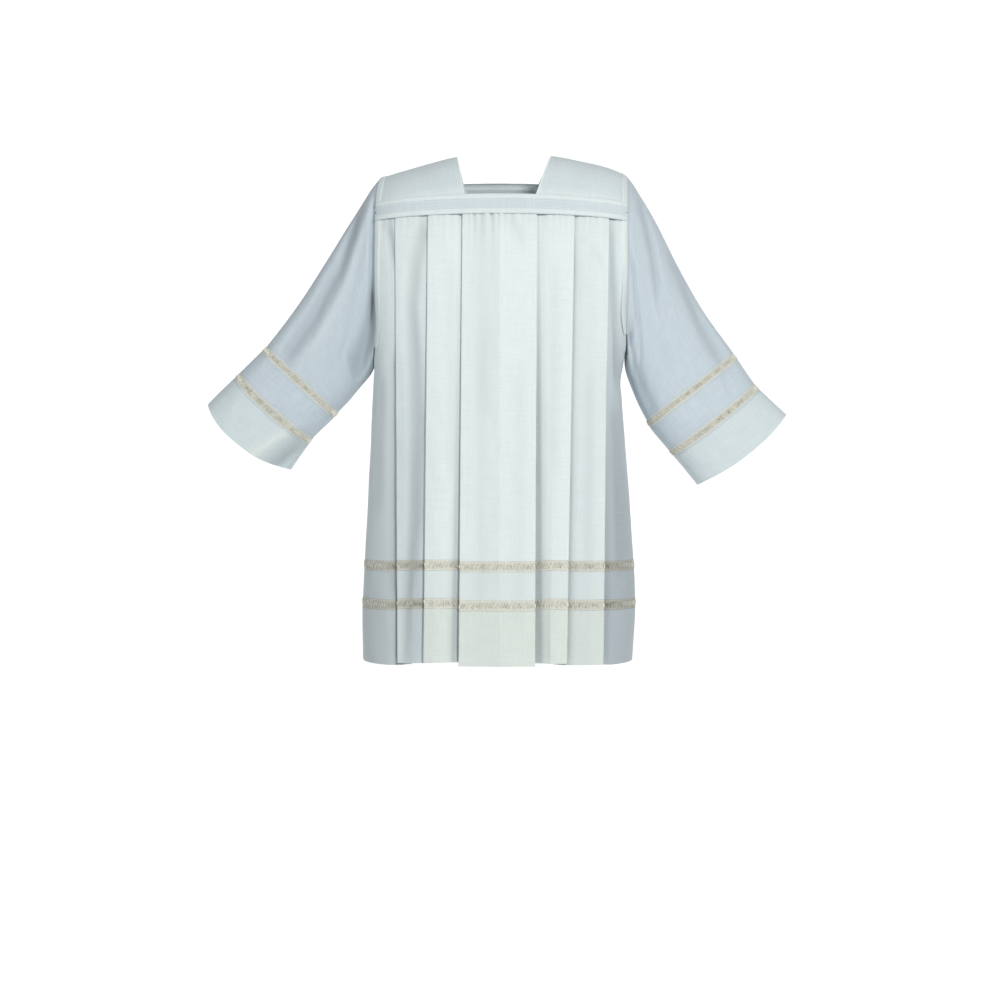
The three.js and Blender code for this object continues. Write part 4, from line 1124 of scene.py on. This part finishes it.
def build_sleeve(side):
    """A sleeve's three cloth pieces and its two insertions."""
    parts = (
        ("", 0.0, SLEEVE_END, 96, sleeve_cloth, CLOTH, "cloth", 0.0),
        ("_strip", SLEEVE_STRIP_START, SLEEVE_STRIP_END, 14, sleeve_cloth, CLOTH, "cloth", 0.0),
        ("_cuff", CUFF_START, CUFF_END, 20, cuff_cloth, DOUBLE_CLOTH, "doubled_cloth", 0.4),
    )
    for ending, start, end, rows, material, thickness, slot, layers in parts:
        name = f"sleeve_{side}{ending}"
        first = start + (SEAM_GAP / 2 if start else 0)
        last = end - SEAM_GAP / 2
        points, uv, shade = sleeve_grid(side, first, last, rows)
        # Painted highlight on the sleeves' ridges goes into the layers value, and painted shade in the folds
        # and along the seam goes into shade
        tones = {"layers": layers + SLEEVE_RIDGE_HIGHLIGHT * np.maximum(-shade, 0), "shade": np.maximum(shade, 0)}
        piece = grid_piece(f"{name}_cloth", points, uv, material, tones, thickness, tube=True)
        dress(piece, name, slot, *cut_of(points))
    sleeve_insertion(side, SLEEVE_END, "upper")
    sleeve_insertion(side, SLEEVE_STRIP_END, "lower")


for face in (FRONT, BACK):
    build_body(face)
    build_band(face)
for side in SIDE_SIGNS:
    build_shoulder(side)
    build_sleeve(side)
    build_armhole_strips(side)

# Floor, backdrop, lights and camera
EYE_DISTANCE, EYE_LEVEL, LENS_MM, SENSOR_MM, GARMENT_MIDDLE = 3.5, -0.667, 64.62, 36.0, (0, 0, -0.5)
FLOOR_LEVEL, STAGE_HALF_WIDTH, STAGE_START, STAGE_RUN, STAGE_ROWS = -1.46, 3.2, -0.9, 5.0, 40
CURVE_FROM, CURVE_SHARE, CURVE_RADIUS, WALL_RISE = 0.5, 0.2, 0.9, 9.0


def backdrop():
    """A floor that curves up into a wall behind the garment."""
    bm = bmesh.new()
    bmesh.ops.create_grid(bm, x_segments=1, y_segments=STAGE_ROWS, size=1.0)
    for vertex in bm.verts:
        share = (vertex.co.y + 1) / 2
        turn = min(max((share - CURVE_FROM) / CURVE_SHARE, 0), 1) * math.pi / 2
        run = STAGE_START + min(share, CURVE_FROM) * STAGE_RUN + math.sin(turn) * CURVE_RADIUS
        rise = (1 - math.cos(turn)) * CURVE_RADIUS + max(share - CURVE_FROM - CURVE_SHARE, 0) * WALL_RISE
        vertex.co = Vector((vertex.co.x * STAGE_HALF_WIDTH, run, FLOOR_LEVEL + rise))
    mesh = bpy.data.meshes.new("backdrop")
    bm.to_mesh(mesh)
    bm.free()
    material, tree, shader = nodes_of("backdrop_paper")
    glow = {"Emission Color": (1, 1, 1, 1), "Emission Strength": 0.8}
    adjust(tree, shader, {"Base Color": (0.4, 0.4, 0.4, 1), "Roughness": 0.95, **glow})
    mesh.materials.append(material)
    placed("backdrop", mesh)


def area_light(name, place, size, power, colour):
    """A square light that faces the middle of the garment."""
    data = bpy.data.lights.new(name, "AREA")
    data.shape = "SQUARE"
    data.size = size
    data.energy = power
    data.color = colour
    light = placed(name, data)
    light.location = place
    light.rotation_euler = (Vector(GARMENT_MIDDLE) - Vector(place)).to_track_quat("-Z", "Y").to_euler()


backdrop()
area_light("key", (1.25, -3.3, 1.0), size=0.8, power=88, colour=(1.0, 1.0, 0.98))
area_light("fill", (-2.4, -2.8, 0.1), size=1.6, power=18, colour=(0.95, 0.98, 1.0))
world = bpy.data.worlds.new("studio")
world.use_nodes = True
sky = world.node_tree
adjust(sky, sky.nodes["Background"], {"Color": (0.95, 0.97, 1.0, 1), "Strength": 0.27})
bpy.context.scene.world = world
bpy.context.scene.view_settings.view_transform = "Standard"

camera_data = bpy.data.cameras.new("camera")
camera_data.lens = LENS_MM
camera_data.sensor_width = SENSOR_MM
camera = placed("camera", camera_data)
camera.location = (0, -EYE_DISTANCE, EYE_LEVEL)
camera.rotation_euler = (math.pi / 2, 0, 0)
bpy.context.scene.camera = camera
